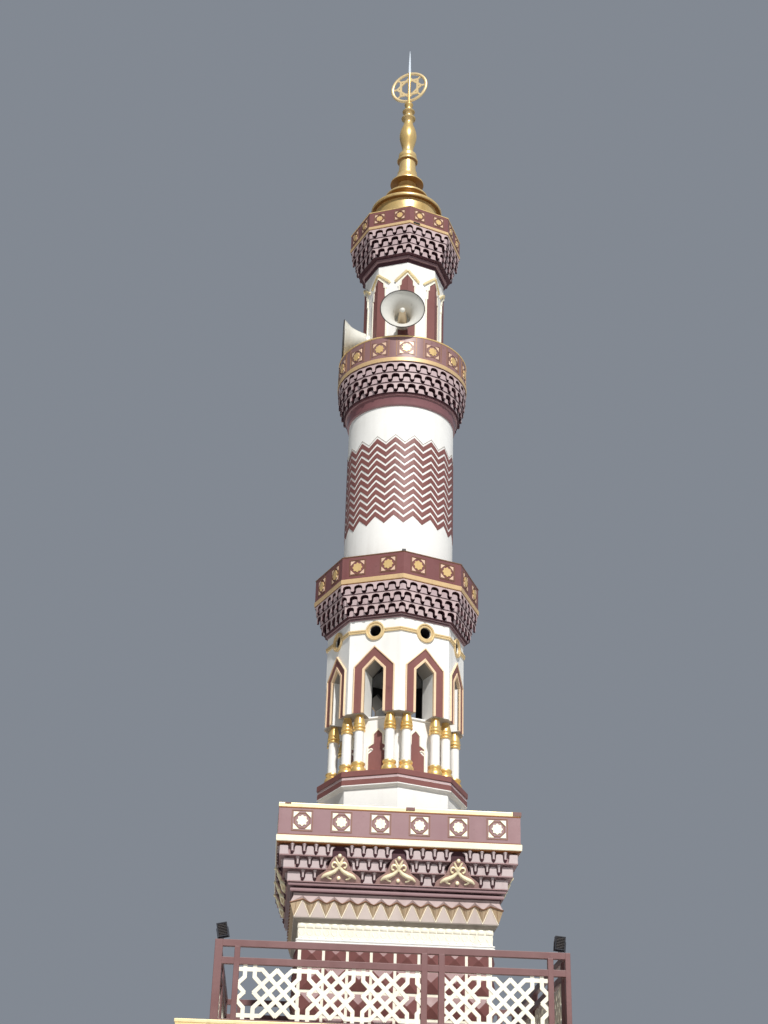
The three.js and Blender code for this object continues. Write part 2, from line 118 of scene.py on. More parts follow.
# Round stage
DRUM_R = 0.668
DRUM = (9.074, 11.52)
CHEVRONS = (9.89, 11.104)
CHEVRON_COUNT = 18
CHEVRON_STRIPES = 11
CHEVRON_RISE = 0.104
CHEVRON_TURN = 10.5
CHEVRON_DARK = 0.66
ROUND_ROWS = [(11.674, 11.798, 0.744), (11.798, 11.927, 0.788), (11.927, 12.064, 0.822)]
ROUND_BAND = (12.064, 12.131, 0.838)
ROUND_PARAPET = (12.131, 12.454, 0.83)
ROUND_CELLS = 36
ROUND_TILES = 15
ROUND_INNER = 0.6

# Top stage
TOP_R = 0.528
TOP_INNER = 0.45
TOP_ROWS = [(13.902, 14.03, 0.634), (14.03, 14.158, 0.678), (14.158, 14.286, 0.722)]
TOP_BAND = (14.286, 14.335, 0.752)
TOP_PARAPET = (14.335, 14.572, 0.746)
EMBLEM_Z = 17.3
EMBLEM_R = 0.278
EMBLEM_BAR = 0.024
STAR_R = 0.178
EMBLEM_TURN = math.radians(-22.5)


class Shape:
    """Points and faces of closed solids that make one piece."""

    def __init__(self, points=(), faces=()):
        self.points = list(points)
        self.faces = list(faces)

    def join(self, other, place=None):
        start = len(self.points)
        self.points += other.points if place is None else [place(*point) for point in other.points]
        self.faces += [tuple(start + i for i in face) for face in other.faces]
        return self


def circle(radius, count, turn=0.0, centre=(0.0, 0.0)):
    """Points evenly round a circle."""
    angles = [turn + 2 * math.pi * k / count for k in range(count)]
    return [(centre[0] + radius * math.cos(angle), centre[1] + radius * math.sin(angle)) for angle in angles]


def flipped(outline):
    """Mirror image of an outline, still counter-clockwise."""
    return [(-u, v) for u, v in reversed(outline)]


def mirrored(right):
    """An outline from its right side, given from the foot to the top."""
    return right + flipped([(u, v) for u, v in right if u > 1e-6])


def lofted(levels, loop=False):
    """A solid through levels of as many points each, with flat ends unless it closes up in a loop."""
    count = len(levels[0])
    points = [point for level in levels for point in level]
    faces = []
    for k in range(len(levels) if loop else len(levels) - 1):
        low, high = k * count, (k + 1) % len(levels) * count
        for i in range(count):
            j = (i + 1) % count
            faces.append((low + i, low + j, high + j, high + i))
    if not loop:
        faces = [tuple(reversed(range(count))), *faces, tuple(range(len(points) - count, len(points)))]
    return Shape(points, faces)


# A wall map turns (along, up, out) into a place in the part's frame
def flat_walls(count, apothem, turn=0.0, axis_x=TOWER_X):
    walls = []
    for side in range(count):
        angle = math.radians(turn - 90.0 + 360.0 * side / count)
        out = (math.cos(angle), math.sin(angle))

        def place(u, v, w, out=out):
            reach = apothem + w
            return (axis_x + reach * out[0] - u * out[1], reach * out[1] + u * out[0], v)

        walls.append(place)
    return walls


def octagon_walls(radius):
    return flat_walls(8, radius * COS_EIGHTH, 22.5)


def round_walls(count, radius, turn=0.0):
    walls = []
    for step in range(count):
        middle = math.radians(turn - 90.0 + 360.0 * step / count)

        def place(u, v, w, middle=middle):
            angle = middle + u / radius
            return (TOWER_X + (radius + w) * math.cos(angle), (radius + w) * math.sin(angle), v)

        walls.append(place)
    return walls


def inset(outline, distance):
    """The outline, counter-clockwise, moved inwards."""
    moved = []
    count = len(outline)
    for i in range(count):
        before, here, after = (Vector(outline[k % count]) for k in (i - 1, i, i + 1))
        first = (here - before).normalized()
        second = (after - here).normalized()
        normal = Vector((-first.y, first.x))
        middle = normal + Vector((-second.y, second.x))
        middle.normalize()
        step = middle * (distance / max(0.4, middle.dot(normal)))
        moved.append((here.x + step.x, here.y + step.y))
    return moved


def prism(outline, back, front, bevel=0.0):
    """A plate standing out of the wall from back to front, its front edge bevelled."""
    levels = [(outline, back), (outline, front - bevel)]
    if bevel > 0:
        levels.append((inset(outline, bevel), front))
    return lofted([[(u, v, w) for u, v in loop] for loop, w in levels])


def block(u, v, w, bevel=0.0):
    outline = [(u[0], v[0]), (u[1], v[0]), (u[1], v[1]), (u[0], v[1])]
    return prism(outline, w[0], w[1], bevel)


def strip(path, half, back, front, loop=False):
    """A flat band of even width along a path in the wall's plane."""
    count = len(path)
    levels = []
    for i in range(count):
        here = Vector(path[i])
        before = Vector(path[i - 1]) if loop or i > 0 else None
        after = Vector(path[(i + 1) % count]) if loop or i < count - 1 else None
        first = (here - before).normalized() if before is not None else (after - here).normalized()
        second = (after - here).normalized() if after is not None else first
        normal = Vector((-first.y, first.x))
        middle = (normal + Vector((-second.y, second.x))).normalized()
        step = middle * (half / max(0.35, middle.dot(normal)))
        left, right = here + step, here - step
        levels.append([(*left, back), (*right, back), (*right, front), (*left, front)])
    return lofted(levels, loop)


def turned(profile, sides, phase=0.0, centre=(0.0, 0.0)):
    """A closed profile of (radius, height) turned round an upright axis."""
    shape = Shape()
    rings = []
    for radius, height in profile:
        corners = [centre] if radius < 1e-6 else circle(radius, sides, phase, centre)
        rings.append([len(shape.points) + k for k in range(len(corners))])
        shape.points += [(x, y, height) for x, y in corners]
    for low, high in zip(rings, rings[1:] + rings[:1]):
        for k in range(sides):
            j = (k + 1) % sides
            corners = (low[k % len(low)], low[j % len(low)], high[j % len(high)], high[k % len(high)])
            face = tuple(dict.fromkeys(corners))
            if len(face) > 2:
                shape.faces.append(face)
    return shape


def section(inner, outer, rise=0.0):
    """A ring's closed profile from its outer side, bottom to top. Its top rises inwards."""
    return [(inner, outer[0][1]), *outer, (inner, outer[-1][1] + rise)]


def square_ring(inner, outer, rise=0.0, centre=TOWER):
    corners = [(half * math.sqrt(2), z) for half, z in section(inner, outer, rise)]
    return turned(corners, 4, math.pi / 4, centre)


def octagon_ring(inner, outer, rise=0.0):
    return turned(section(inner, outer, rise), 8, 0.0, TOWER)


def round_ring(inner, outer, rise=0.0):
    return turned(section(inner, outer, rise), ROUND_SIDES, 0.0, TOWER)


def post(profile, sides, u, w):
    """A turned upright standing at (u, w) on a wall."""
    shape = turned(profile, sides, math.pi / sides, (u, -w))
    shape.points = [(x, z, -y) for x, y, z in shape.points]
    return shape


def curve(corners, steps):
    """A smooth path through the given corners."""
    path = []
    count = len(corners)
    for i in range(count - 1):
        a, b, c, d = (Vector(corners[min(max(k, 0), count - 1)]) for k in (i - 1, i, i + 1, i + 2))
        for k in range(steps):
            t = k / steps
            bend = (2 * a - 5 * b + 4 * c - d) * t * t + (3 * b - a - 3 * c + d) * t * t * t
            path.append((2 * b + (c - a) * t + bend) / 2)
    path.append(Vector(corners[-1]))
    return path


def tube(path, radii, sides=6):
    """A round rod of changing thickness along a path of (u, v, w)."""
    levels = []
    for i, radius in enumerate(radii):
        ahead = path[min(i + 1, len(path) - 1)] - path[max(i - 1, 0)]
        side = ahead.cross(Vector((0, 0, 1))).normalized()
        lift = side.cross(ahead).normalized()
        levels.append([tuple(path[i] + radius * (side * a + lift * b)) for a, b in circle(1.0, sides)])
    return lofted(levels)


def ball(u, v, w, radius, squash=1.0, sides=12):
    profile = []
    for k in range(7):
        angle = math.pi * k / 6 - math.pi / 2
        profile.append((radius * math.cos(angle), radius * math.sin(angle)))
    shape = turned(profile, sides)
    shape.points = [(u + x, v + z, w + y * squash) for x, y, z in shape.points]
    return shape


def everywhere(shapes, walls):
    """Copies of the shapes on every wall."""
    total = Shape()
    for place in walls:
        for shape in shapes:
            total.join(shape, place)
    return total


def piece(name, shape, material, replaces=(), bevel=0.0, smooth=0.0):
    """One object of the scene, riding on the part's only body."""
    mesh = bpy.data.meshes.new(name)
    mesh.from_pydata(shape.points, [], shape.faces)
    data = bmesh.new()
    data.from_mesh(mesh)
    bmesh.ops.recalc_face_normals(data, faces=data.faces)
    if smooth > 0:
        limit = math.radians(smooth)
        for face in data.faces:
            face.smooth = True
        for edge in data.edges:
            edge.smooth = edge.calc_face_angle(0.0) < limit
    data.to_mesh(mesh)
    data.free()
    mesh.materials.append(material)
    item = bpy.data.objects.new(name, mesh)
    bpy.context.scene.collection.objects.link(item)
    if bevel > 0:
        rounding = item.modifiers.new("edges", "BEVEL")
        rounding.width = bevel
        rounding.segments = 2
        rounding.limit_method = "ANGLE"
        rounding.angle_limit = math.radians(30)
    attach(item, "root")
    if replaces:
        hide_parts(*replaces)
    return item


def linear(red, green, blue):
    """A screen colour of 0 to 255 as the linear colour that shaders take."""
    values = []
    for level in (red, green, blue):
        share = level / 255
        values.append(share / 12.92 if share <= 0.04045 else ((share + 0.055) / 1.055) ** 2.4)
    return (*values, 1.0)


def new_node(tree, kind, inputs, output=0, operation=None):
    """An output of a new node, its inputs set to values or linked to other outputs."""
    node = tree.nodes.new(kind)
    if operation:
        node.operation = operation
    if kind == "ShaderNodeMix":
        node.data_type = "RGBA"
    for socket, value in inputs.items():
        if isinstance(value, bpy.types.NodeSocket):
            tree.links.new(value, node.inputs[socket])
        else:
            node.inputs[socket].default_value = value
    return node.outputs[output]


def stretched(tree, value, low, high, bottom=0.0, top=1.0):
    """The value's span low to high stretched to bottom to top, clamped."""
    inputs = {"Value": value, "From Min": low, "From Max": high, "To Min": bottom, "To Max": top}
    return new_node(tree, "ShaderNodeMapRange", inputs, "Result")


class Finish:
    """One node material, built step by step. Its colours are screen colours of 0 to 255."""

    def __init__(self, name):
        self.material = bpy.data.materials.new(name)
        self.material.use_nodes = True
        self.tree = self.material.node_tree
        self.shader = self.tree.nodes["Principled BSDF"]
        self.place = new_node(self.tree, "ShaderNodeTexCoord", {}, "Object")

    def noise(self, scale, detail=3.0, stretch=None):
        place = self.place
        if stretch:
            place = new_node(self.tree, "ShaderNodeMapping", {"Vector": place, "Scale": stretch})
        inputs = {"Vector": place, "Scale": scale, "Detail": detail}
        return new_node(self.tree, "ShaderNodeTexNoise", inputs, "Fac")

    def spread(self, value, low, high, bottom=0.0, top=1.0):
        return stretched(self.tree, value, low, high, bottom, top)

    def blend(self, share, first, second):
        """The first colour where the share is 0, the second where it is 1."""
        first, second = (linear(*value) if isinstance(value, tuple) else value for value in (first, second))
        return new_node(self.tree, "ShaderNodeMix", {0: share, 6: first, 7: second}, 2)

    def geometry(self, output):
        return new_node(self.tree, "ShaderNodeNewGeometry", {}, output)

    def vector(self, operation, output, *values):
        return new_node(self.tree, "ShaderNodeVectorMath", dict(enumerate(values)), output, operation)

    def edges(self, low, high, most):
        """Most on worn convex edges, 0 elsewhere."""
        worn = self.spread(self.geometry("Pointiness"), low, high)
        return new_node(self.tree, "ShaderNodeMath", {0: worn, 1: most}, 0, "MULTIPLY")

    def upward(self, low, high):
        """1 on faces that look up, where dust settles and painted top light pales the paint; bounds below 0
        pick faces that look down, for painted shade.
        """
        height = new_node(self.tree, "ShaderNodeSeparateXYZ", {"Vector": self.geometry("Normal")}, "Z")
        return self.spread(height, low, high)

    def off_axis(self):
        """Level vector from the tower's upright axis."""
        return self.vector("MULTIPLY_ADD", "Vector", self.place, (1.0, 1.0, 0.0), (-TOWER_X, 0.0, 0.0))

    def from_axis(self):
        """Distance from the tower's upright axis."""
        return self.vector("LENGTH", "Value", self.off_axis())

    def outward(self):
        """1 on faces that look away from the tower's axis, 0 on soffits and sides."""
        away = self.vector("NORMALIZE", "Vector", self.off_axis())
        return self.vector("DOT_PRODUCT", "Value", self.geometry("Normal"), away)

    def bump(self, height, strength, distance, normal=None):
        inputs = {"Strength": strength, "Distance": distance, "Height": height}
        if normal is not None:
            inputs["Normal"] = normal
        return new_node(self.tree, "ShaderNodeBump", inputs)

    def finish(self, colour, roughness, normal, metallic=0.0, coat=0.0):
        for socket, output in (("Base Color", colour), ("Roughness", roughness), ("Normal", normal)):
            self.tree.links.new(output, self.shader.inputs[socket])
        self.shader.inputs["Metallic"].default_value = metallic
        self.shader.inputs["Coat Weight"].default_value = coat
        return self.material


# Colour of rooms that no light reaches
UNLIT = (22, 19, 21)


def paint(
    name, base, shade, dirt, rough=(0.5, 0.7), streaks=0.35, bump=0.3, coat=0.0,
    dust_and_top_light=None, sides=None, soffit=None, dark_within=0.0,
):
    """Masonry paint: patchy colour, rain streaks, brushed and pitted surface; optionally dust and painted top
    light on faces that look up, and painted shade on sides, soffits and inside rooms.
    """
    look = Finish(name)
    patches = look.spread(look.noise(1.3, 4.0), 0.35, 0.68)
    colour = look.blend(patches, base, shade)
    grain = look.spread(look.noise(38.0, 5.0), 0.4, 0.7, 0.0, 0.35)
    colour = look.blend(grain, colour, shade)
    runs = look.spread(look.noise(1.0, 6.0, (7.0, 7.0, 0.8)), 0.52, 0.74, 0.0, streaks)
    colour = look.blend(runs, colour, dirt)
    spots = look.spread(look.noise(11.0, 8.0), 0.66, 0.74, 0.0, streaks)
    colour = look.blend(spots, colour, dirt)
    # Dust and painted top light: faces that look up are paled
    if dust_and_top_light is not None:
        colour = look.blend(look.upward(0.12, 0.34), colour, dust_and_top_light)
    # Painted shade: faces that don't look away from the tower's axis, such as sides and soffits, take the
    # darker sides colour
    if sides is not None:
        colour = look.blend(look.spread(look.outward(), 0.5, 0.72), sides, colour)
    # Painted shade: faces that look down take the soffit colour
    if soffit is not None:
        colour = look.blend(look.upward(-0.45, -0.3), soffit, colour)
    # Painted shade: surfaces within the given radius, inside the rooms, turn to the unlit colour
    if dark_within > 0:
        outside = look.spread(look.from_axis(), dark_within - 0.004, dark_within)
        colour = look.blend(outside, UNLIT, colour)
    roughness = look.spread(look.noise(5.0, 4.0), 0.3, 0.7, rough[0], rough[1])
    normal = look.bump(look.noise(9.0, 3.0), bump * 0.6, 0.004)
    normal = look.bump(look.noise(120.0, 4.0), bump, 0.0012, normal)
    return look.finish(colour, roughness, normal, 0.0, coat)


def gilding(name, base, deep, tarnish, rough=(0.28, 0.42), metallic=0.9, tarnished=0.5, under=None):
    """Gold leaf and gold paint: overlapping tones, tarnish runs and specks, rubbed edges, and optionally
    painted shade in brown on faces that look down.
    """
    look = Finish(name)
    tones = look.spread(look.noise(3.5, 5.0), 0.35, 0.65)
    colour = look.blend(tones, base, deep)
    runs = look.spread(look.noise(1.6, 6.0, (9.0, 9.0, 1.4)), 0.55, 0.75, 0.0, tarnished)
    colour = look.blend(runs, colour, tarnish)
    specks = look.spread(look.noise(60.0, 5.0), 0.62, 0.75, 0.0, tarnished)
    colour = look.blend(specks, colour, tarnish)
    colour = look.blend(look.edges(0.51, 0.58, 0.6), colour, base)
    # Painted shade: faces that look down take the under colour
    if under is not None:
        colour = look.blend(look.upward(-0.8, -0.4), under, colour)
    roughness = look.spread(look.noise(14.0, 4.0), 0.3, 0.7, rough[0], rough[1])
    normal = look.bump(look.noise(7.0, 3.0), 0.25, 0.004)
    normal = look.bump(look.noise(90.0, 3.0), 0.2, 0.0008, normal)
    return look.finish(colour, roughness, normal, metallic)


MAUVE = paint("mauve_masonry", (135, 88, 84), (124, 78, 75), (84, 50, 48), (0.42, 0.6), 0.3)
# Mauve tiles: faces that look up are paled, as dust and as painted top light
MAUVE_TILE = paint(
    "mauve_tiles", (128, 82, 80), (116, 72, 70), (84, 50, 50), (0.4, 0.56), 0.3, dust_and_top_light=(132, 94, 95),
)
MAUVE_PANEL = paint("mauve_panel", (130, 84, 84), (118, 74, 74), (84, 50, 50), (0.34, 0.5), 0.28, coat=0.1)
SQUARE_PANEL = paint("square_panel", (156, 124, 127), (146, 113, 117), (112, 80, 80), (0.34, 0.5), 0.26)
MOULD_PAINT = paint("mauve_moulding", (152, 122, 126), (140, 110, 114), (108, 74, 76), (0.36, 0.5), 0.25)
COVE_GLOSS = paint("round_cove", (140, 98, 101), (130, 88, 92), (96, 62, 64), (0.28, 0.38), 0.25, coat=0.5)
ROUND_PANEL = paint(
    "round_panel", (155, 119, 119), (143, 109, 109), (90, 56, 54), (0.32, 0.46), 0.28, coat=0.35,
)
# Lilac cells and pale screens: sides and soffits take a dark colour as painted shade
LILAC = paint(
    "lilac_cells", (200, 180, 182), (188, 166, 169), (142, 112, 112), (0.45, 0.62), 0.28, sides=(70, 42, 50),
)
SCREEN_PAINT = paint(
    "pale_screens", (202, 181, 181), (190, 168, 169), (140, 110, 112), (0.45, 0.62), 0.25, sides=(74, 42, 50),
)
SQUARE_RECESS = paint("square_recess", (172, 141, 142), (158, 127, 128), (100, 66, 70), (0.5, 0.7), 0.3)
# Grey on the white piers' soffits, painted shade
PIER_SHADE_GREY = paint("pier_soffit", (170, 162, 152), (154, 146, 136), (110, 98, 86), (0.5, 0.7), 0.35)
EYE_PAINT = gilding("eye_gilding", (232, 206, 156), (214, 186, 136), (150, 114, 70), (0.4, 0.54), 0.2, 0.4)
CELL_PAINT = paint("square_cells", (196, 181, 181), (184, 168, 169), (130, 106, 106), (0.45, 0.62), 0.25)
# Dark recess: a dark mauve, partly the recesses' own paint and partly painted shade; also used for painted
# shadow strips and plates
RECESS_AND_SHADE = paint("dark_recess_and_painted_shade", (80, 42, 52), (64, 32, 40), (36, 18, 24), (0.6, 0.8), 0.4)
# Near black, painted shade where no light reaches: the room's floor, the round holes' sleeves and a slot in
# the top band
SHADE_INSIDE = paint("painted_shade_inside", (30, 26, 28), (22, 19, 21), (12, 10, 11), (0.7, 0.85), 0.4)
WHITE = paint("white_masonry", (246, 246, 244), (237, 237, 234), (184, 180, 170), (0.5, 0.68), 0.18)
# White walls with painted shade: grey on faces that look down and near black inside the room
HOLLOW_WHITE = paint(
    "white_walls_dark_inside", (246, 246, 244), (237, 237, 234), (184, 180, 170), (0.5, 0.68), 0.18,
    dark_within=ROOM_R, soffit=(150, 144, 136),
)
CREAM = paint("cream_carving", (252, 249, 236), (244, 239, 220), (186, 170, 132), (0.45, 0.62), 0.25)
FILLET = paint("beige_fillet", (242, 215, 180), (228, 198, 162), (160, 122, 88), (0.42, 0.56), 0.28)
PINK = paint("pink_render", (186, 166, 165), (174, 154, 152), (134, 108, 102), (0.5, 0.66), 0.28)
FOLD_PAINT = paint("fold_fronts", (201, 188, 182), (190, 176, 170), (142, 124, 114), (0.5, 0.66), 0.26)
STRIP_PAINT = paint("light_strip", (204, 180, 182), (192, 166, 170), (160, 122, 124), (0.45, 0.6), 0.25)
BROWN = paint("brown_panel", (128, 92, 88), (114, 80, 76), (80, 54, 50), (0.45, 0.62), 0.32)
PEDESTAL = paint("pedestal_paint", (182, 148, 142), (168, 134, 128), (116, 84, 76), (0.45, 0.62), 0.3)
FOLD_PALE = gilding(
    "pale_gilding", (204, 182, 152), (188, 163, 131), (140, 108, 76), (0.42, 0.56), 0.15, 0.4,
)
PLASTER = paint("base_plaster", (222, 214, 200), (206, 198, 184), (140, 128, 110), (0.6, 0.8), 0.4)
FLOORING = paint("balcony_floor", (176, 168, 158), (156, 148, 138), (104, 96, 86), (0.6, 0.8), 0.5)
RAIL_PAINT = paint("railing_paint", (126, 92, 92), (116, 82, 82), (94, 62, 58), (0.34, 0.5), 0.28, 0.15)
LATTICE_PAINT = paint("lattice_paint", (252, 250, 236), (243, 239, 222), (190, 176, 148), (0.4, 0.55), 0.22)
GOLD = gilding("bright_gilding", (246, 212, 144), (232, 190, 110), (136, 92, 42), (0.28, 0.4), 0.6)
# Dome gold, with brown painted shade on its undersides
DOME_GOLD = gilding(
    "dome_gilding", (240, 211, 152), (226, 193, 126), (160, 118, 66), (0.28, 0.38), 0.5, 0.35,
    under=(128, 90, 44),
)
RING_GOLD = gilding(
    "ring_gilding", (240, 216, 168), (226, 198, 146), (190, 144, 84), (0.34, 0.46), 0.35, 0.25,
)
ORNAMENT_GOLD = gilding(
    "ornament_gilding", (255, 247, 214), (253, 236, 190), (210, 166, 112), (0.36, 0.5), 0.25, 0.22,
)
# Cream gold for the square band and its tiles, made pale partly as painted sheen of the sun on the gold
CREAM_SHEEN_BAND = gilding("cream_band_painted_sheen", (252, 248, 224), (246, 238, 206), (190, 160, 110), (0.36, 0.48), 0.25, 0.2)
GOLD_BAND = gilding("band_gilding", (248, 230, 184), (240, 216, 162), (176, 132, 76), (0.36, 0.48), 0.4, 0.3)
STAR_GOLD = gilding("star_gilding", (242, 208, 148), (228, 192, 128), (150, 106, 60), (0.34, 0.46), 0.4, 0.35)
CORNER_PINK = gilding(
    "corner_gilding", (236, 204, 178), (220, 184, 156), (150, 106, 82), (0.38, 0.5), 0.2, 0.4,
)
PALE_BAND = gilding("pale_band", (230, 198, 152), (216, 182, 134), (156, 114, 70), (0.38, 0.5), 0.3, 0.35)
GOLD_BROWN = gilding("brown_gilding", (168, 126, 84), (144, 102, 62), (92, 60, 36), (0.42, 0.56), 0.4)
LINE_BROWN = gilding("line_brown", (134, 98, 74), (118, 84, 62), (78, 52, 40), (0.42, 0.56), 0.3)
# Amber gold: painted shade on the gold bands' undersides, and thin lines round the square rim
AMBER = gilding("amber_gilding", (134, 82, 36), (116, 66, 28), (76, 42, 20), (0.4, 0.54), 0.4)
ENAMEL = paint("horn_enamel", (226, 226, 218), (212, 211, 200), (160, 148, 120), (0.3, 0.45), 0.3, 0.1, 0.2)
# A darker copy of the horn enamel: painted shade inside the horn's throat
THROAT_SHADE = paint("horn_throat", (216, 216, 211), (203, 202, 195), (140, 130, 112), (0.35, 0.5), 0.35, 0.1, 0.1)
STEM = paint("horn_stem", (206, 186, 156), (190, 168, 138), (130, 106, 76), (0.35, 0.5), 0.3, 0.1, 0.2)
BLACK = paint("lamp_black", (34, 35, 44), (24, 25, 34), (70, 64, 60), (0.35, 0.55), 0.35, 0.2)
LAMP_BACK = paint("lamp_back", (66, 60, 60), (54, 49, 50), (80, 70, 62), (0.4, 0.6), 0.35, 0.2)
GLASS = paint("lamp_glass", (92, 100, 108), (78, 86, 94), (120, 114, 100), (0.08, 0.16), 0.2, 0.02, 0.5)
SPIKE_PAINT = paint("spike_paint", (214, 224, 236), (200, 212, 226), (150, 156, 166), (0.4, 0.5), 0.2, 0.1)


def keep(material, *names):
    """A better material on CAD solids that stay."""
    for name in names:
        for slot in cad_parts[name].material_slots:
            slot.material = material


# Base room, terrace and their trim
def build_base():
    keep(PLASTER, "base_wall_rear", "base_wall_front")
    keep(FLOORING, "base_floor")
    keep(CREAM, "terrace_slab")
    walls = flat_walls(4, BASE_HALF, 0.0, 0.0)
    corners = [block(span, BASE_WALL, (-0.03, 0.025)) for span in ((-1.975, -1.94), (1.94, 1.975))]
    trim = everywhere(corners, walls)
    skirting = {"v": (BASE_WALL[0], 0.42), "w": (-0.02, 0.03)}
    trim.join(everywhere([block((-BASE_HALF, BASE_HALF), **skirting)], walls[1:]))
    beside_door = [block(span, **skirting) for span in ((-BASE_HALF, -0.62), (0.62, BASE_HALF))]
    trim.join(everywhere(beside_door, walls[:1]))
    trim.join(everywhere([block((-1.97, 1.97), (3.56, BASE_WALL[1]), (-0.02, 0.035))], walls))
    doorway = mirrored([(0.5, BASE_WALL[0]), (0.5, 2.225), (0.0, 2.48)])
    trim.join(strip(doorway, 0.045, -0.02, 0.03), walls[0])
    piece("base_trim", trim, MAUVE, bevel=0.006)
    rim = [
        (2.052, 3.782), (2.064, 3.79), (2.068, 3.802), (2.062, 3.814), (2.054, 3.82), (2.054, 3.848),
        (2.064, 3.856), (2.064, 3.882), (2.052, 3.888),
    ]
    piece("terrace_rim", square_ring(1.98, rim, centre=(0.0, 0.0)), GOLD_BAND, bevel=0.002)
    paving = Shape()
    for row in range(PAVING_ROWS):
        for column in range(PAVING_ROWS):
            x, y = -TERRACE_HALF + PAVING * column, -TERRACE_HALF + PAVING * row
            if abs(x + PAVING / 2 - TOWER_X) < 0.8 and abs(y + PAVING / 2) < 0.8:
                continue
            span = (PAVING_JOINT, PAVING - PAVING_JOINT)
            tile = block(span, span, (0.0, 0.006), 0.002)
            paving.join(tile, lambda u, v, w, x=x, y=y: (x + u, y + v, TERRACE_TOP + w))
    inner = TERRACE_HALF - 0.08
    paving.points = [(max(-inner, min(inner, x)), max(-inner, min(inner, y)), z) for x, y, z in paving.points]
    piece("terrace_paving", paving, FLOORING)


def lattice_lines():
    """Straight bars of one repeat of the lattice, from one hourglass to the next."""
    neck = LATTICE_NECK
    step = (LATTICE_PITCH - 2 * neck) / 6
    top = 3.55 * step
    lines = []
    for start, end in (((1, 3), (6, -2)), ((0, 2), (5, -3)), ((0, 0), (3, -3)), ((3, 3), (6, 0))):
        down = [(neck + step * i, step * j) for i, j in (start, end)]
        lines.append(("right", down))
        lines.append(("left", [(LATTICE_PITCH - u, v) for u, v in down]))
    for side in (-1, 1):
        for lift in (-1, 1):
            lines.append(("upright", [(side * neck, lift * 2 * step), (side * neck, lift * top)]))
        reach = neck + step
        lines.append(("level", [(-reach, side * 3 * step), (reach, side * 3 * step)]))
    return lines


def clipped(line, low, high):
    """The part of a straight line between two upright bounds."""
    (x0, y0), (x1, y1) = sorted(line)
    if x1 < low or x0 > high:
        return None
    if x1 - x0 < 1e-9:
        return line
    slope = (y1 - y0) / (x1 - x0)
    left, right = max(x0, low), min(x1, high)
    if right - left < 0.004:
        return None
    return [(left, y0 + slope * (left - x0)), (right, y0 + slope * (right - x0))]


def build_railing():
    walls = flat_walls(4, RAIL_HALF, 0.0, 0.0)
    corner = (-RAIL_HALF, -RAIL_HALF + CORNER_POST)
    frame_bars = [block(corner, (TERRACE_TOP, RAIL_TOP), (-CORNER_DEPTH, 0.0))]
    for low, high in INNER_POSTS:
        frame_bars.append(block((low, high), (TERRACE_TOP, TOP_RAIL[0] + 0.004), (-RAIL_DEPTH, 0.0)))
    span = (-RAIL_HALF + CORNER_POST - 0.004, RAIL_HALF - CORNER_DEPTH + 0.004)
    for rail in (TOP_RAIL, SECOND_RAIL, FOOT_RAIL):
        frame_bars.append(block(span, rail, (-RAIL_DEPTH + 0.002, -0.002)))
    piece(
        "railing_frame", everywhere(frame_bars, walls), RAIL_PAINT,
        ("railing_front", "railing_right", "railing_back", "railing_left"), bevel=0.004,
    )
    fronts = {"right": -0.018, "left": -0.0195, "upright": -0.021, "level": -0.0225}
    bars = []
    for low, high, first in LATTICE_PANELS:
        for repeat in range(-1, 5):
            start = first + LATTICE_PITCH * repeat
            for kind, line in lattice_lines():
                moved = clipped([(start + u, LATTICE_MIDDLE + v) for u, v in line], low - 0.02, high + 0.02)
                if moved is None:
                    continue
                (x0, y0), (x1, y1) = moved
                share = 0.4 * LATTICE_BAR / math.hypot(x1 - x0, y1 - y0)
                dx, dy = (x1 - x0) * share, (y1 - y0) * share
                front = fronts[kind]
                grown = [(x0 - dx, y0 - dy), (x1 + dx, y1 + dy)]
                bars.append(strip(grown, LATTICE_BAR, -RAIL_DEPTH - front, front))
    piece("railing_lattice", everywhere(bars, walls), LATTICE_PAINT, bevel=0.002)


def build_lamps():
    for name, x, lean in (("lamp_left", -1.687, -12.0), ("lamp_right", 1.653, 5.0)):
        cos_lean, sin_lean = math.cos(math.radians(lean)), math.sin(math.radians(lean))
        y = -RAIL_HALF + RAIL_DEPTH / 2

        def place(u, v, w, x=x, cos_lean=cos_lean, sin_lean=sin_lean):
            return (x + u * cos_lean + v * sin_lean, y - w, LAMP_Z + v * cos_lean - u * sin_lean)

        panel = Shape().join(block((-0.044, 0.044), (-0.06, 0.06), (-0.03, 0.018)), place)
        for k in range(7):
            v = -0.045 + 0.015 * k
            panel.join(block((-0.04, 0.04), (v - 0.0025, v + 0.0025), (0.016, 0.034)), place)
        piece(name + "_back", panel, LAMP_BACK, bevel=0.001)
        body = Shape()
        rim = [(-0.052, -0.068), (0.052, -0.068), (0.052, 0.068), (-0.052, 0.068)]
        for back, front in ((-0.038, -0.02), (0.012, 0.03)):
            body.join(strip(inset(rim, 0.006), 0.006, back, front, True), place)
        yoke = [(-0.057, 0.02), (-0.057, -0.076), (0.057, -0.076), (0.057, 0.02)]
        body.join(strip(yoke, 0.003, -0.012, 0.012), place)
        piece(name + "_body", body, BLACK, (name,), bevel=0.0015)
        foot = block((x - 0.018, x + 0.018), (4.688, 4.715), (-0.014, 0.014))
        foot.points = [(u, y - w, v) for u, v, w in foot.points]
        piece(name + "_foot", foot, BLACK, bevel=0.0015)
        glass = prism([(-0.045, -0.06), (0.045, -0.06), (0.045, 0.06), (-0.045, 0.06)], -0.036, -0.028)
        piece(name + "_glass", Shape().join(glass, place), GLASS)


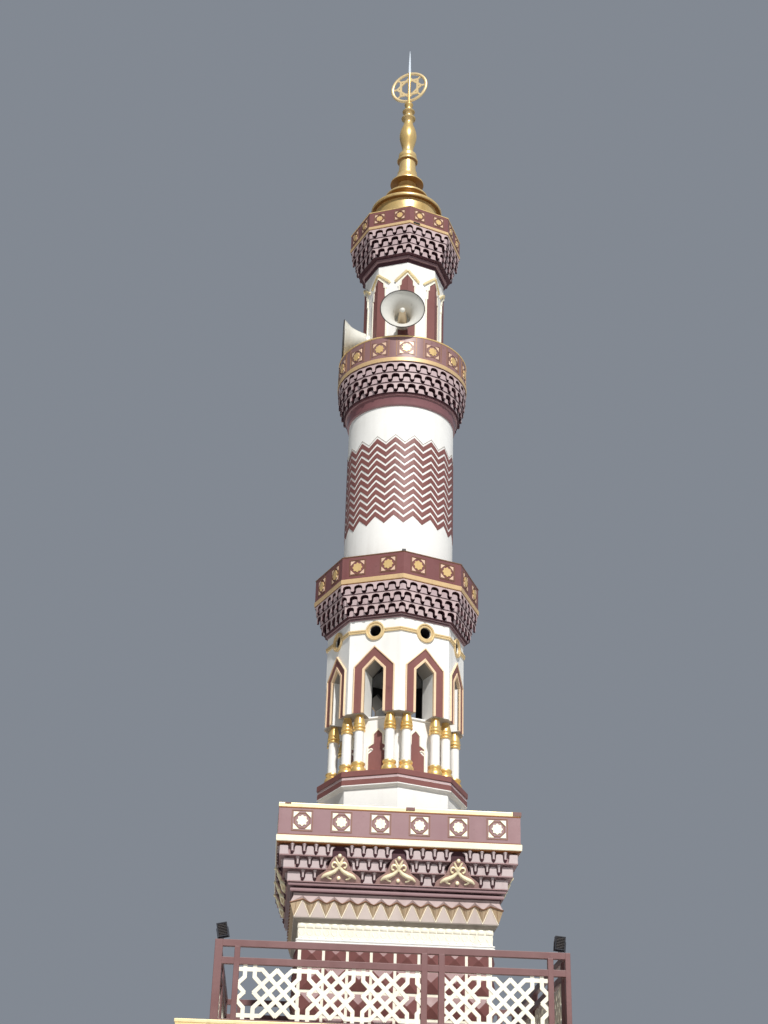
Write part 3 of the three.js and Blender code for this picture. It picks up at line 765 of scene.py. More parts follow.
# Square shaft up to the folded course
def build_shaft():
    """Flat-topped pyramid tiles set in white grout."""
    keep(LATTICE_PAINT, "tile_shaft")
    half = TILE_PITCH / 2 - GROUT
    tiles = []
    for low, high in zip(TILE_SEAMS, TILE_SEAMS[1:]):
        bottom = low + (0.002 if low == TILE_SEAMS[0] else GROUT)
        top = high - (0.002 if high == TILE_SEAMS[-1] else GROUT)
        for column in range(8):
            u = (column - 3.5) * TILE_PITCH
            rim = [(u - half, bottom), (u + half, bottom), (u + half, top), (u - half, top)]
            peak = inset(rim, min(half, (top - bottom) / 2) - 0.004)
            levels = ((rim, -0.005), (rim, 0.006), (inset(rim, 0.008), 0.009), (peak, 0.046))
            tiles.append(lofted([[(a, b, w) for a, b in loop] for loop, w in levels]))
    cladding = everywhere(tiles, flat_walls(4, SHAFT_HALF))
    piece("shaft_tiles", cladding, MAUVE_TILE, bevel=0.0015)


def build_frieze():
    walls = flat_walls(4, SHAFT_HALF)
    low, middle = TILE_SEAMS[-1], (TILE_SEAMS[-1] + FRIEZE[0]) / 2
    roll = [(1.021, 0.0), (1.028, 0.005), (1.031, 0.012), (1.028, 0.018), (1.019, 0.022)]
    moulding = [(reach, start + rise) for start in (low, middle) for reach, rise in roll]
    piece("frieze_moulding", square_ring(SQUARE_INNER, moulding), WHITE)
    bottom, top = FRIEZE
    band = square_ring(SQUARE_INNER, [(1.008, bottom), (1.009, top - 0.03), (1.013, top - 0.002)], 0.002)
    carving = []
    pitch = 2 * 1.014 / FRIEZE_ARCHES
    for k in range(FRIEZE_ARCHES):
        u = (k - (FRIEZE_ARCHES - 1) / 2) * pitch
        arch = [(-0.036, top - 0.058), (0.036, top - 0.058)]
        for step in range(9):
            angle = math.pi * step / 8
            arch.append((0.037 * math.cos(angle), top - 0.036 + 0.032 * math.sin(angle)))
        carving.append(prism([(u + a, b) for a, b in arch], 0.004, 0.0165, 0.004))
        carving.append(ball(u, bottom + 0.014, 0.006, 0.0115, 0.7, 8))
        for side in (-1, 1):
            sprig = [(0.0, 0.03), (0.022 * side, 0.05), (0.028 * side, 0.076), (0.01 * side, 0.094)]
            path = curve([(u + a, bottom + b, 0.0075) for a, b in sprig], 3)
            last = len(path) - 1
            radii = [0.0025 + 0.004 * math.sin(math.pi * i / last) for i in range(last + 1)]
            carving.append(tube(path, radii, 5))
    band.join(everywhere(carving, walls))
    piece("carved_band", band, CREAM, ("carved_frieze",), smooth=50.0)


FACET_FACES = [(0, 1, 2), (0, 2, 3), (0, 3, 5, 4), (4, 5, 7, 6), (0, 4, 6, 1), (1, 6, 7, 2), (2, 7, 5, 3)]
GABLE_FACES = [(0, 1, 2, 3), (0, 4, 5, 1), (4, 7, 6, 5), (0, 3, 7, 4), (3, 2, 6, 7), (1, 5, 6, 2)]


def build_folds():
    """Front triangles standing on their base, with ridges between them that lean out to the cove's points."""
    walls = flat_walls(4, TEETH_HALF)
    pitch = 2 * TEETH_HALF / TEETH_COUNT
    facets = {-1: [], 1: []}
    fronts, gables, lines, edges = [], [], [], []
    back = -0.2
    level = FOLD_PEAK + 0.034
    for k in range(TEETH_COUNT):
        middle = (k - (TEETH_COUNT - 1) / 2) * pitch
        for side in (-1, 1):
            edge = middle + side * pitch / 2
            corner = side if abs(edge) > TEETH_HALF - 0.01 else 0
            back_edge = edge + corner * back
            tip = Vector((edge + corner * FOLD_REACH, FOLD_RIDGE, FOLD_REACH))
            peak = Vector((middle, FOLD_PEAK, 0.0))
            foot = Vector((edge, FOLD_BOTTOM, 0.0))
            behind = [(back_edge, FOLD_PEAK, back), (middle, FOLD_PEAK, back)]
            below = [(middle, FOLD_BOTTOM, 0.0), (back_edge, FOLD_BOTTOM, back), (middle, FOLD_BOTTOM, back)]
            facets[side].append(Shape([foot, tip, peak, *below, *behind], FACET_FACES))
            above = [(middle, level, 0.012), (edge + corner * 0.012, level, 0.012)]
            rear = [(middle, level, back), (back_edge, level, back)]
            gables.append(Shape([tip, peak, *above, *behind, *rear], GABLE_FACES))
            # The thick brown rod from tip to peak is a painted shadow line under the cove's edge; the thin
            # rod is a painted stripe on the facet
            lines.append(tube([tip, peak + Vector((0.0, 0.0, 0.004))], [0.0085, 0.0085], 5))
            lines.append(tube([foot + Vector((0.0, 0.01, 0.001)), (tip + peak) / 2], [0.0015, 0.003], 5))
            edges.append(tube([foot + Vector((0.0, 0.006, 0.003)), peak], [0.0045, 0.0035], 5))
        half, base = pitch / 2 - 0.006, FOLD_BOTTOM + 0.003
        front = [(middle - half, base), (middle + half, base), (middle, FOLD_PEAK - 0.016)]
        fronts.append(prism(front, -0.004, 0.005, 0.002))
    piece("fold_facets_right", everywhere(facets[1], walls), FOLD_PALE, ("folded_course",))
    piece("fold_facets_left", everywhere(facets[-1], walls), FOLD_PALE)
    piece("fold_fronts", everywhere(fronts, walls), FOLD_PAINT)
    piece("fold_lines", everywhere(lines, walls), LINE_BROWN)
    piece("fold_edges", everywhere(edges, walls), CREAM)
    # The soffit under the folds takes the grey floor paint, as painted shade
    soffit = square_ring(SQUARE_INNER, [
        (1.021, FRIEZE[1]), (1.03, FRIEZE[1] + 0.006), (1.056, FOLD_BOTTOM - 0.008),
        (1.061, FOLD_BOTTOM - 0.004), (1.061, FOLD_BOTTOM + 0.002),
    ])
    piece("fold_soffit", soffit, FLOORING)
    cove = square_ring(SQUARE_INNER, [(1.0715, FOLD_PEAK + 0.03), (1.073, 5.31), (1.08, COVE_TOP)], 0.002)
    cove.join(everywhere(gables, walls))
    piece("square_cove", cove, PINK)


# Muqarnas: bell tabs on a ledge, pendants hanging between them, a dark recess behind, its darkness partly
# painted shade
def bell_outline(foot, body, height, part=0, inner=0.0):
    """A whole bell, or its right (1) or left (-1) half, which may be cut back by inner at a recess."""
    flare = foot - body
    right = [
        (foot, 0.0), (foot - 0.06 * flare, 0.05 * height), (body + 0.45 * flare, 0.16 * height),
        (body + 0.12 * flare, 0.3 * height), (body, 0.5 * height), (0.98 * body, 0.72 * height),
        (0.9 * body, 0.86 * height), (0.72 * body, 0.95 * height), (0.42 * body, height),
    ]
    if part == 0:
        return mirrored(right)
    cut = [(0.0, height)]
    if inner > 0:
        cut = [(-0.9 * inner, height), (0.3 * inner, 0.84 * height), (0.9 * inner, 0.6 * height)]
    half = [(inner, 0.0), *right, *cut]
    return half if part > 0 else flipped(half)


def bell(u, z, size, part=0):
    outline = bell_outline(size["foot"], size["body"], size["height"], part, size.get("inner", 0.0))
    lean = size.get("lean", 0.0)
    shape = Shape()

    def leant(a, b, w):
        spread = part * lean * b * SIN_EIGHTH / COS_EIGHTH if abs(a) < 0.004 else 0.0
        return (u + a - spread, z + b, w + lean * b)

    shape.join(prism(outline, -size["depth"], 0.0, 0.003), leant)
    return shape


def recess_steps(rows, depth, band_z, under=0.006, over=0.003):
    """Outer side of the dark stepped core behind the cells."""
    steps = []
    for low, high, reach in rows:
        inner = reach - depth
        steps += [(reach, low - under), (reach, low + over), (inner, low + over), (inner, high - under)]
    edge = rows[-1][2] + 0.012
    return steps + [(edge, rows[-1][1] - under), (edge, band_z)]


SQUARE_CELL = {
    "foot": 0.057, "body": 0.038, "height": 0.095, "depth": 0.03, "cap": 0.022, "stem": 0.0115, "cup": 0.021,
    "inner": 0.016,
}


def square_pendant(u, low, high):
    """A stem under a flared cap, with a dark cup at its foot that is painted shade."""
    cap, stem, cup, w = SQUARE_CELL["cap"], SQUARE_CELL["stem"], SQUARE_CELL["cup"], 0.004
    high -= 0.011
    profile = [
        (0.0, high), (cap, high), (cap, high - 0.008), (0.76 * cap, high - 0.015),
        (1.15 * stem, high - 0.027), (stem, high - 0.038), (stem, low + 0.028), (0.0, low + 0.028),
    ]
    foot = [
        (0.0, low + 0.035), (0.85 * cup, low + 0.035), (cup, low + 0.03), (0.72 * cup, low + 0.018),
        (0.25 * cup, low + 0.005), (0.0, low + 0.001),
    ]
    return post(profile, 8, u, w), post(foot, 8, u, w)


def square_row(row):
    """Pendants, bells and half bells of one row, counted in cells round the three recesses of a side."""
    start = 2.0 - 0.5 * row
    pendants, bells, halves = set(), set(), set()
    for centre in (-5, 0, 5):
        for side in (-1, 1):
            last = 3.0 + 0.5 * row if side * centre > 0 else 2.5
            step = start
            while step <= last:
                pendants.add(centre + side * step)
                if step + 0.5 <= last:
                    bells.add(centre + side * (step + 0.5))
                step += 1.0
            if row > 0:
                halves.add((centre + side * (start - 0.5), side))
    return sorted(pendants), sorted(bells), sorted(halves)


PEDESTAL_SIDE = [
    (0.24, 0.0), (0.236, 0.03), (0.21, 0.058), (0.175, 0.08), (0.144, 0.1), (0.122, 0.125), (0.108, 0.15),
    (0.097, 0.18), (0.084, 0.205), (0.064, 0.23), (0.036, 0.246),
]


def ornament_shapes(centre, base, lean):
    """Gilt arabesque on its pedestal panel: ball, open leaves, volutes and two legs ending in leaves."""
    def at(u, v, out=0.0):
        return (centre + u, base + v, lean * v + out)

    def stroke(corners, side, thickness, out=0.012):
        path = curve([at(side * u, v, out) for u, v in corners], 4)
        last = len(path) - 1
        return tube(path, [thickness(i / last) for i in range(last + 1)])

    def leg_thickness(t):
        return 0.014 + 0.012 * math.sin(math.pi * t ** 1.5) - 0.008 * t ** 3

    leaf = [(0.0, 0.15), (0.014, 0.178), (0.028, 0.203), (0.042, 0.226)]
    scroll = [
        (0.0, 0.142), (0.018, 0.162), (0.038, 0.178), (0.057, 0.18), (0.073, 0.166), (0.073, 0.146),
        (0.06, 0.134), (0.047, 0.14),
    ]
    leg = [
        (0.0, 0.148), (0.01, 0.132), (0.024, 0.116), (0.045, 0.1), (0.07, 0.086), (0.098, 0.074),
        (0.136, 0.062), (0.162, 0.048), (0.18, 0.03),
    ]
    lobe = [(0.125, 0.058), (0.112, 0.042), (0.094, 0.031), (0.074, 0.026)]
    gold = []
    for side in (-1, 1):
        gold.append(stroke(leaf, side, lambda t: 0.017 - 0.009 * t))
        gold.append(stroke(scroll, side, lambda t: 0.0125 - 0.002 * t))
        gold.append(stroke(leg, side, leg_thickness))
        gold.append(stroke(lobe, side, lambda t: 0.017 - 0.01 * t))
    gold.append(stroke([(0.0, 0.176), (0.0, 0.15), (0.0, 0.124)], 1, lambda t: 0.02, 0.014))
    gold.append(ball(*at(0.0, 0.243, 0.014), 0.022, 0.8))
    gold.append(ball(*at(0.0, 0.037, 0.01), 0.021, 0.5))
    plate = prism(mirrored(PEDESTAL_SIDE), -0.012, 0.004, 0.003)
    return gold, Shape().join(plate, at)


def corner_tab(reach, width, low, height, side):
    """The wide end tab of a row, flared at its inner foot."""
    inner, outer = reach - width, reach - 0.001
    outline = [
        (inner - 0.01, low), (outer, low), (outer, low + height - 0.008), (outer - 0.006, low + height),
        (inner + 0.012, low + height), (inner + 0.002, low + 0.9 * height), (inner, low + 0.5 * height),
        (inner - 0.004, low + 0.2 * height),
    ]
    return prism(outline if side > 0 else flipped(outline), -0.05, 0.0, 0.003)


# Width of each row's end tabs, and half the width of the recess heads by row
CORNER_TABS = (0.135, 0.117, 0.092)
RECESS_HEADS = ((1, 0.122), (2, 0.079))


def build_square_corbel():
    recesses = (-ORNAMENT_SPACING, 0.0, ORNAMENT_SPACING)
    cells, cups = Shape(), Shape()
    for row, (low, high, reach) in enumerate(SQUARE_ROWS):
        pendants, bells, halves = square_row(row)
        side_walls = flat_walls(4, reach)
        shapes = [bell(CELL_PITCH * step, low, SQUARE_CELL) for step in bells]
        shapes += [bell(CELL_PITCH * step, low, SQUARE_CELL, side) for step, side in halves]
        feet = []
        for step in pendants:
            stem, foot = square_pendant(CELL_PITCH * step, low, high)
            shapes.append(stem)
            feet.append(foot)
        width = CORNER_TABS[row]
        shapes += [corner_tab(reach, width, low, SQUARE_CELL["height"], side) for side in (-1, 1)]
        cells.join(everywhere(shapes, side_walls))
        cups.join(everywhere(feet, side_walls))
    piece("square_cells", cells, CELL_PAINT)
    core = square_ring(SQUARE_INNER, recess_steps(SQUARE_ROWS, 0.036, SQUARE_BAND[1] - 0.02, 0.008, 0.001))
    piece("square_recess", core, SQUARE_RECESS, ("square_corbel",))
    # Painted shade: dark plates in the recess heads with ledges under them, dark rings in the gaps by the
    # mouldings, and the dark cups under the pendants
    painted_shade = Shape()
    for row, half in RECESS_HEADS:
        low, high, reach = SQUARE_ROWS[row]
        side = [(half, low), (half, high - 0.05), (0.86 * half, high - 0.026), (0.6 * half, high - 0.009)]
        shapes = []
        for centre in recesses:
            shapes.append(prism([(centre + u, v) for u, v in mirrored(side)], -0.045, -0.033))
            ledge = (low - 0.0085, low + 0.0015)
            shapes.append(block((centre - half, centre + half), ledge, (-0.04, 0.0012)))
        painted_shade.join(everywhere(shapes, flat_walls(4, reach)))
    for low, high, reach in ((5.327, 5.34, 1.088), (5.366, 5.395, 1.072), (5.42, 5.436, 1.1)):
        painted_shade.join(square_ring(0.95, [(reach, low), (reach, high)]))
    painted_shade.join(cups)
    piece("square_painted_shade", painted_shade, RECESS_AND_SHADE)
    mouldings = Shape()
    for low, high, reach in ((5.336, 5.37, 1.116), (5.391, 5.424, 1.138)):
        foot = [(reach - 0.004, low), (reach - 0.001, low + 0.004)]
        head = [(reach - 0.001, high - 0.004), (reach - 0.004, high)]
        mouldings.join(square_ring(0.95, [*foot, (reach, (low + high) / 2), *head]))
    piece("square_mouldings", mouldings, MOULD_PAINT)
    plane = flat_walls(4, SQUARE_ROWS[0][2] - 0.012)
    ornaments = [ornament_shapes(centre, SQUARE_ROWS[0][0] + 0.002, 0.5) for centre in recesses]
    gold = [shape for parts, panel in ornaments for shape in parts]
    piece("square_ornaments", everywhere(gold, plane), ORNAMENT_GOLD, smooth=60.0)
    panels = [panel for parts, panel in ornaments]
    piece("square_pedestals", everywhere(panels, plane), PEDESTAL)
    low, high, reach = SQUARE_BAND
    band = [
        (reach - 0.008, low + 0.002), (reach, low + 0.01), (reach + 0.002, high - 0.006),
        (reach - 0.004, high),
    ]
    piece("square_band", square_ring(1.18, band), CREAM_SHEEN_BAND)
    # The amber foot is painted shade on the band's underside
    foot = [(1.262, low - 0.012), (reach - 0.01, low - 0.006), (reach - 0.006, low + 0.003)]
    piece("square_band_foot", square_ring(1.18, foot), AMBER)


def star_outline(radius, depth):
    outline = []
    for k in range(48):
        angle = 2 * math.pi * k / 48
        reach = radius - depth * (1 - math.cos(8 * (angle - math.pi / 2))) / 2
        outline.append((reach * math.cos(angle), reach * math.sin(angle)))
    return outline


def star_tile(u, v, box, star):
    """A rounded eight-pointed star between four corner triangles, ringed by thin lines."""
    half = box / 2
    gold = [prism([(u + a, v + b) for a, b in star_outline(star, 0.2 * star)], -0.002, 0.008, 0.002)]
    corners = []
    edge = half - 0.07 * box
    short = edge - 0.58 * half
    for across in (-1, 1):
        for up in (-1, 1):
            triangle = ((edge, edge), (short, edge), (edge, short))
            corner = [(u + across * a, v + up * b) for a, b in triangle]
            if across * up < 0:
                corner.reverse()
            corners.append(prism(corner, -0.002, 0.006, 0.0015))
    square = [(u - half, v - half), (u + half, v - half), (u + half, v + half), (u - half, v + half)]
    ring = circle(1.42 * star, 8, math.pi / 8, (u, v))
    return gold, corners, [strip(path, 0.0035, -0.002, 0.004, True) for path in (square, ring)]


def tiled_parapet(name, walls, places, z, box, star, star_paint, corner_paint):
    gold, pale, lines = [], [], []
    for u in places:
        parts, corners, frames = star_tile(u, z, box, star)
        gold += parts
        pale += corners
        lines += frames
    piece(name + "_stars", everywhere(gold, walls), star_paint)
    piece(name + "_corners", everywhere(pale, walls), corner_paint)
    piece(name + "_lines", everywhere(lines, walls), LINE_BROWN)


def build_square_parapet():
    keep(SQUARE_PANEL, "square_parapet")
    low, high, reach = SQUARE_PARAPET
    walls = flat_walls(4, reach)
    places = [0.2054 * (2 * k - 5) for k in range(6)]
    tiled_parapet("square", walls, places, 6.034, 0.216, 0.06, CREAM_SHEEN_BAND, CREAM_SHEEN_BAND)
    rim = [
        (reach + 0.001, high - 0.04), (reach + 0.003, high - 0.036), (reach + 0.003, high - 0.002),
        (reach + 0.001, high + 0.004),
    ]
    piece("square_rim", square_ring(reach - 0.116, rim), GOLD_BAND)
    lines = Shape()
    for z in (low + 0.005, high - 0.046):
        lines.join(square_ring(reach - 0.02, [(reach + 0.003, z - 0.005), (reach + 0.003, z + 0.005)]))
    piece("square_rim_lines", lines, AMBER)
    marks = [
        block((0.06, 0.156), (high - 0.024, high + 0.007), (-0.03, 0.013)),
        block((-1.215, -1.15), (high - 0.006, high + 0.006), (-0.03, 0.011)),
        block((1.195, 1.286), (high - 0.036, high + 0.007), (-0.09, 0.0115)),
    ]
    piece("square_rim_brackets", everywhere(marks, walls[:1]), BROWN, bevel=0.002)


# Octagonal plinth, core and columns
def build_plinth():
    keep(WHITE, "octagon_plinth", "niche_core")
    foot, middle, upper, top = CORNICE
    bands = Shape()
    for low, high, reach in ((foot + 0.009, middle, 0.86), (upper - 0.001, top + 0.002, 0.868)):
        outer = [(reach - 0.004, low), (reach, low + 0.005), (reach, high - 0.005), (reach - 0.004, high)]
        bands.join(octagon_ring(PLINTH_INNER, outer))
    piece("cornice_bands", bands, MAUVE)
    pale = [(0.8525, middle - 0.002), (0.8555, middle + 0.004), (0.8555, upper - 0.004), (0.852, upper)]
    piece("cornice_strip", octagon_ring(PLINTH_INNER, pale), STRIP_PAINT)
    line = [(0.86, foot - 0.002), (0.8625, foot + 0.001), (0.8625, foot + 0.007), (0.86, foot + 0.0095)]
    piece("cornice_line", octagon_ring(PLINTH_INNER, line), WHITE)


CORE_NICHE = [
    (0.112, 6.788), (0.112, 7.056), (0.053, 7.098), (0.118, 7.124), (0.05, 7.168), (0.048, 7.28),
    (0.0, 7.33),
]


def build_core():
    walls = octagon_walls(CORE_R)
    niche = prism(mirrored(CORE_NICHE), -0.004, 0.004)
    piece("core_niches", everywhere([niche], walls), MAUVE)
    edge = [(0.122, 6.788), (0.122, 7.062), (0.122, 7.14), (0.062, 7.174), (0.06, 7.285), (0.0, 7.347)]
    borders = [strip(mirrored(edge), 0.0095, -0.004, 0.015)]
    scroll = [(0.118, 7.088), (0.095, 7.108), (0.076, 7.112), (0.06, 7.1)]
    for side in (-1, 1):
        curl = curve([(side * u, v, 0.006) for u, v in scroll], 3)
        borders.append(tube(curl, [0.012 - 0.006 * i / (len(curl) - 1) for i in range(len(curl))]))
    piece("core_borders", everywhere(borders, walls), CREAM)
    nosing = octagon_ring(0.45, [(0.606, 7.466), (0.611, 7.472), (0.611, 7.484), (0.606, 7.489)])
    piece("core_nosing", nosing, WHITE)
    floor = octagon_ring(0.0, [(0.57, 7.47), (0.57, 7.494)])
    # The room's floor is painted near black, as shade
    piece("window_room_floor", floor, SHADE_INSIDE)


def build_columns():
    walls = flat_walls(8, COLUMN_RING, 0.0)
    shaft = section(0.0, [(0.0555, 6.88), (0.0545, 7.08), (0.0535, 7.3)])
    base = section(0.0, [
        (0.086, 6.783), (0.09, 6.79), (0.0905, 6.806), (0.088, 6.83), (0.081, 6.85), (0.07, 6.862),
        (0.066, 6.872), (0.07, 6.88), (0.076, 6.888), (0.078, 6.9), (0.074, 6.912), (0.06, 6.92),
    ], 0.002)
    capital = section(0.0, [
        (0.06, 7.278), (0.069, 7.284), (0.071, 7.292), (0.068, 7.3), (0.06, 7.305), (0.06, 7.311),
        (0.067, 7.316), (0.071, 7.326), (0.07, 7.338), (0.063, 7.346), (0.066, 7.352), (0.065, 7.37),
        (0.06, 7.395), (0.053, 7.425), (0.046, 7.45), (0.041, 7.474),
    ])
    shafts, metal = Shape(), Shape()
    for u in (-COLUMN_SPACING / 2, COLUMN_SPACING / 2):
        shafts.join(everywhere([post(shaft, 24, u, 0.0)], walls))
        metal.join(everywhere([post(base, 24, u, 0.0), post(capital, 24, u, 0.0)], walls))
    nodes = ["column_pair_%d" % (k + 1) for k in range(8)]
    piece("column_shafts", shafts, WHITE, nodes, smooth=40.0)
    piece("column_gilding", metal, GOLD, smooth=40.0)
    half = OCT_R * SIN_EIGHTH
    panels = octagon_walls(OCT_R)
    soffits = Shape()
    for here, beyond in zip(panels, panels[1:] + panels[:1]):
        corners = [
            (here, 0.118, -0.27), (here, 0.118, -0.001), (here, half, -0.001), (beyond, -0.118, -0.001),
            (beyond, -0.118, -0.27),
        ]
        soffits.join(lofted([[wall(u, z, w) for wall, u, w in corners] for z in PIER_SOFFIT]))
    # The pier soffits are painted grey as shade
    piece("pier_soffits", soffits, PIER_SHADE_GREY)


# Window storey
def build_windows():
    # The window panels carry painted shade: grey undersides and near-black inner faces
    keep(HOLLOW_WHITE, *["window_panel_%d" % (k + 1) for k in range(8)])
    walls = octagon_walls(OCT_R)

    def gable(half, shoulder, peak, width, back, front):
        side = [(half, STOREY_BOTTOM + 0.001), (half, shoulder), (0.0, peak)]
        return strip(mirrored(side), width, back, front)

    field = gable(0.188, 8.006, 8.194, 0.045, -0.004, 0.008)
    piece("window_fields", everywhere([field], walls), MAUVE)
    outer = gable(0.239, 8.028, 8.266, 0.007, -0.004, 0.02)
    inner = gable(0.1285, 7.994, 8.126, 0.0145, -0.02, 0.016)
    piece("window_fillets", everywhere([outer, inner], walls), FILLET, bevel=0.003)
    eye = (0.0, EYE_Z)
    eyes = [strip(circle(0.1055, 40, 0.0, eye), 0.0095, -0.01, 0.022, True)]
    eyes.append(strip(circle(0.0825, 40, 0.0, eye), 0.0135, -0.01, 0.013, True))
    reach = OCT_R * SIN_EIGHTH
    for side in (-1, 1):
        for lift, front in ((-0.011, 0.018), (0.011, 0.022)):
            path = [(side * 0.108, EYE_Z + lift), (side * (reach + 0.006), EYE_Z + lift)]
            eyes.append(strip(path, 0.0095, -0.004, front))
    piece("eye_rings", everywhere(eyes, walls), EYE_PAINT, bevel=0.003)
    # Sleeves in the round holes, painted near black as the shade inside them
    sleeve = strip(circle(0.0665, 24, 0.0, eye), 0.0025, -0.25, -0.012, True)
    piece("eye_sleeves", everywhere([sleeve], walls), SHADE_INSIDE)


def screen(u, low, high, pitch, neck, part=0):
    """Half arches on both sides of a pendant, hung in front of the bells."""
    sides = [
        (0.5 * neck, 0.2), (0.9 * neck, 0.23), (1.12 * neck, 0.31), (1.08 * neck, 0.4), (neck, 0.5),
        (1.08 * neck, 0.6), (0.04 + neck, 0.69), (0.11 + neck, 0.765), (0.21 + neck, 0.815), (0.499, 0.835),
        (0.499, 1.0),
    ]
    right = [(a, low + share * (high - low)) for a, share in sides]
    outline = mirrored(right)
    if part != 0:
        half = [(0.0, right[0][1]), *right, (0.0, high)]
        outline = half if part > 0 else flipped(half)
    return prism([(u + pitch * a, b) for a, b in outline], -0.024, 0.0, 0.002)


def row_cell(cell, pitch, height):
    size = {"height": cell["height"] * height, "depth": 0.04, "lean": cell["lean"]}
    return {"foot": cell["foot"] * pitch, "body": cell["body"] * pitch, **size}


def web_planes(rows, band):
    """Distance from the axis of each row's arches, just under the edge of the row above."""
    return [above - 0.008 for above in [row[2] for row in rows[1:]] + [band[2]]]


def cell_steps(count, start, from_end):
    """Places along a face of count cells, each with the half that is kept at its ends."""
    steps = [start + k for k in range(int(count - start + 0.01) + 1)]
    if from_end:
        steps = [count - step for step in steps]
    return [(step, 1 if step < 0.01 else -1 if step > count - 0.01 else 0) for step in steps]


def octagon_corbel(prefix, rows, band, per_face, cell, throat, node):
    """Three rows of cells on eight faces, with a bell on the front corner of the first and last row."""
    cells, screens = Shape(), Shape()
    for row, ((low, high, reach), plane) in enumerate(zip(rows, web_planes(rows, band))):
        first = 0.5 if row == 1 else 0.0
        for k, (wall, web_wall) in enumerate(zip(octagon_walls(reach), octagon_walls(plane))):
            from_end = k % 2 == 1
            half, pitch = reach * SIN_EIGHTH, 2 * reach * SIN_EIGHTH / per_face
            size = row_cell(cell, pitch, high - low)
            for step, part in cell_steps(per_face, first, from_end):
                cells.join(bell(pitch * step - half, low, size, part), wall)
            half, pitch = plane * SIN_EIGHTH, 2 * plane * SIN_EIGHTH / per_face
            for step, part in cell_steps(per_face, 0.5 - first, from_end):
                screens.join(screen(pitch * step - half, low, high, pitch, cell["neck"], part), web_wall)
    piece(prefix + "_cells", cells, LILAC)
    piece(prefix + "_screens", screens, SCREEN_PAINT)
    # The stepped core behind the cells: dark mauve paint and painted shade
    core = octagon_ring(throat, recess_steps(rows, 0.045, band[1] - 0.015, 0.003, 0.002))
    piece(prefix + "_recess", core, RECESS_AND_SHADE, (node,))
    gold_band(prefix, octagon_ring, band)


def gold_band(prefix, ring, band):
    low, high, reach = band
    side = [
        (reach - 0.008, low + 0.004), (reach, low + 0.012), (reach + 0.002, high - 0.005),
        (reach - 0.003, high),
    ]
    piece(prefix + "_band", ring(reach - 0.1, side), PALE_BAND, smooth=30.0)
    # The amber foot is painted shade on the band's underside
    foot = [(reach - 0.016, low - 0.008), (reach - 0.006, low - 0.002), (reach - 0.004, low + 0.005)]
    piece(prefix + "_band_foot", ring(reach - 0.1, foot), AMBER, smooth=30.0)


def gold_rim(prefix, ring, parapet, height, material):
    low, high, reach = parapet
    side = [
        (reach + 0.003, high - height), (reach + 0.007, high - height + 0.004),
        (reach + 0.007, high - 0.002), (reach + 0.003, high + 0.003),
    ]
    piece(prefix + "_rim", ring(reach - PARAPET_WALL - 0.005, side), material, smooth=30.0)


LOWER_CELL = {"foot": 0.415, "body": 0.285, "height": 0.56, "neck": 0.14, "lean": 0.18}
TOP_CELL = {"foot": 0.415, "body": 0.285, "height": 0.56, "neck": 0.14, "lean": 0.14}
ROUND_CELL = {"foot": 0.415, "body": 0.285, "height": 0.55, "neck": 0.14, "lean": 0.0}


def build_lower_balcony():
    mouldings = Shape()
    for low, high, reach in ((8.602, 8.621, 0.828), (8.627, 8.645, 0.842)):
        side = [(reach - 0.006, low), (reach, (low + high) / 2), (reach - 0.006, high)]
        mouldings.join(octagon_ring(LOWER_INNER, side))
    piece("lower_mouldings", mouldings, MOULD_PAINT)
    octagon_corbel("lower", LOWER_ROWS, LOWER_BAND, 5.5, LOWER_CELL, LOWER_INNER, "lower_corbel")
    keep(MAUVE_PANEL, "lower_parapet")
    walls = octagon_walls(LOWER_PARAPET[2])
    tiled_parapet("lower", walls, [-0.19, 0.19], 9.214, 0.194, 0.062, STAR_GOLD, CORNER_PINK)
    gold_rim("lower", octagon_ring, LOWER_PARAPET, 0.012, LINE_BROWN)
    width = (-0.022, 0.022)
    parts = [block(width, (9.36, 9.378), (-0.03, 0.006)), block(width, (9.372, 9.39), (-0.042, -0.006))]
    clip = everywhere(parts, flat_walls(1, LOWER_PARAPET[2]))
    piece("lower_rim_clip", clip, BLACK, bevel=0.002)


# Round drum with its zigzag belt
def zigzag(start, thick, front, repeat):
    """One wave of a stripe that rises to its middle."""
    levels = []
    for i in range(-2, 3):
        u, low = i * repeat / 4, start + CHEVRON_RISE * (1 - abs(i) / 2)
        levels.append([(u, low, -0.01), (u, low, front), (u, low + thick, front), (u, low + thick, -0.01)])
    return lofted(levels)


def build_drum():
    low, high = DRUM
    body = round_ring(DRUM_R - 0.11, [(DRUM_R, z) for z in (low, 10.2, 10.9, high)])
    piece("drum_wall", body, WHITE, ("drum",), smooth=30.0)
    walls = round_walls(CHEVRON_COUNT, DRUM_R, CHEVRON_TURN)
    repeat = 2 * math.pi * DRUM_R / CHEVRON_COUNT
    bottom, top = CHEVRONS
    period = (top - bottom - CHEVRON_RISE) / CHEVRON_STRIPES
    starts = [bottom + period * k for k in range(CHEVRON_STRIPES + 1)]
    stripes = [zigzag(start, period * CHEVRON_DARK, 0.005, repeat) for start in starts[:-1]]
    piece("chevron_stripes", everywhere(stripes, walls), MAUVE)
    line = zigzag(starts[-1] - 0.004, 0.007, 0.004, repeat)
    piece("chevron_line", everywhere([line], walls), FLOORING)


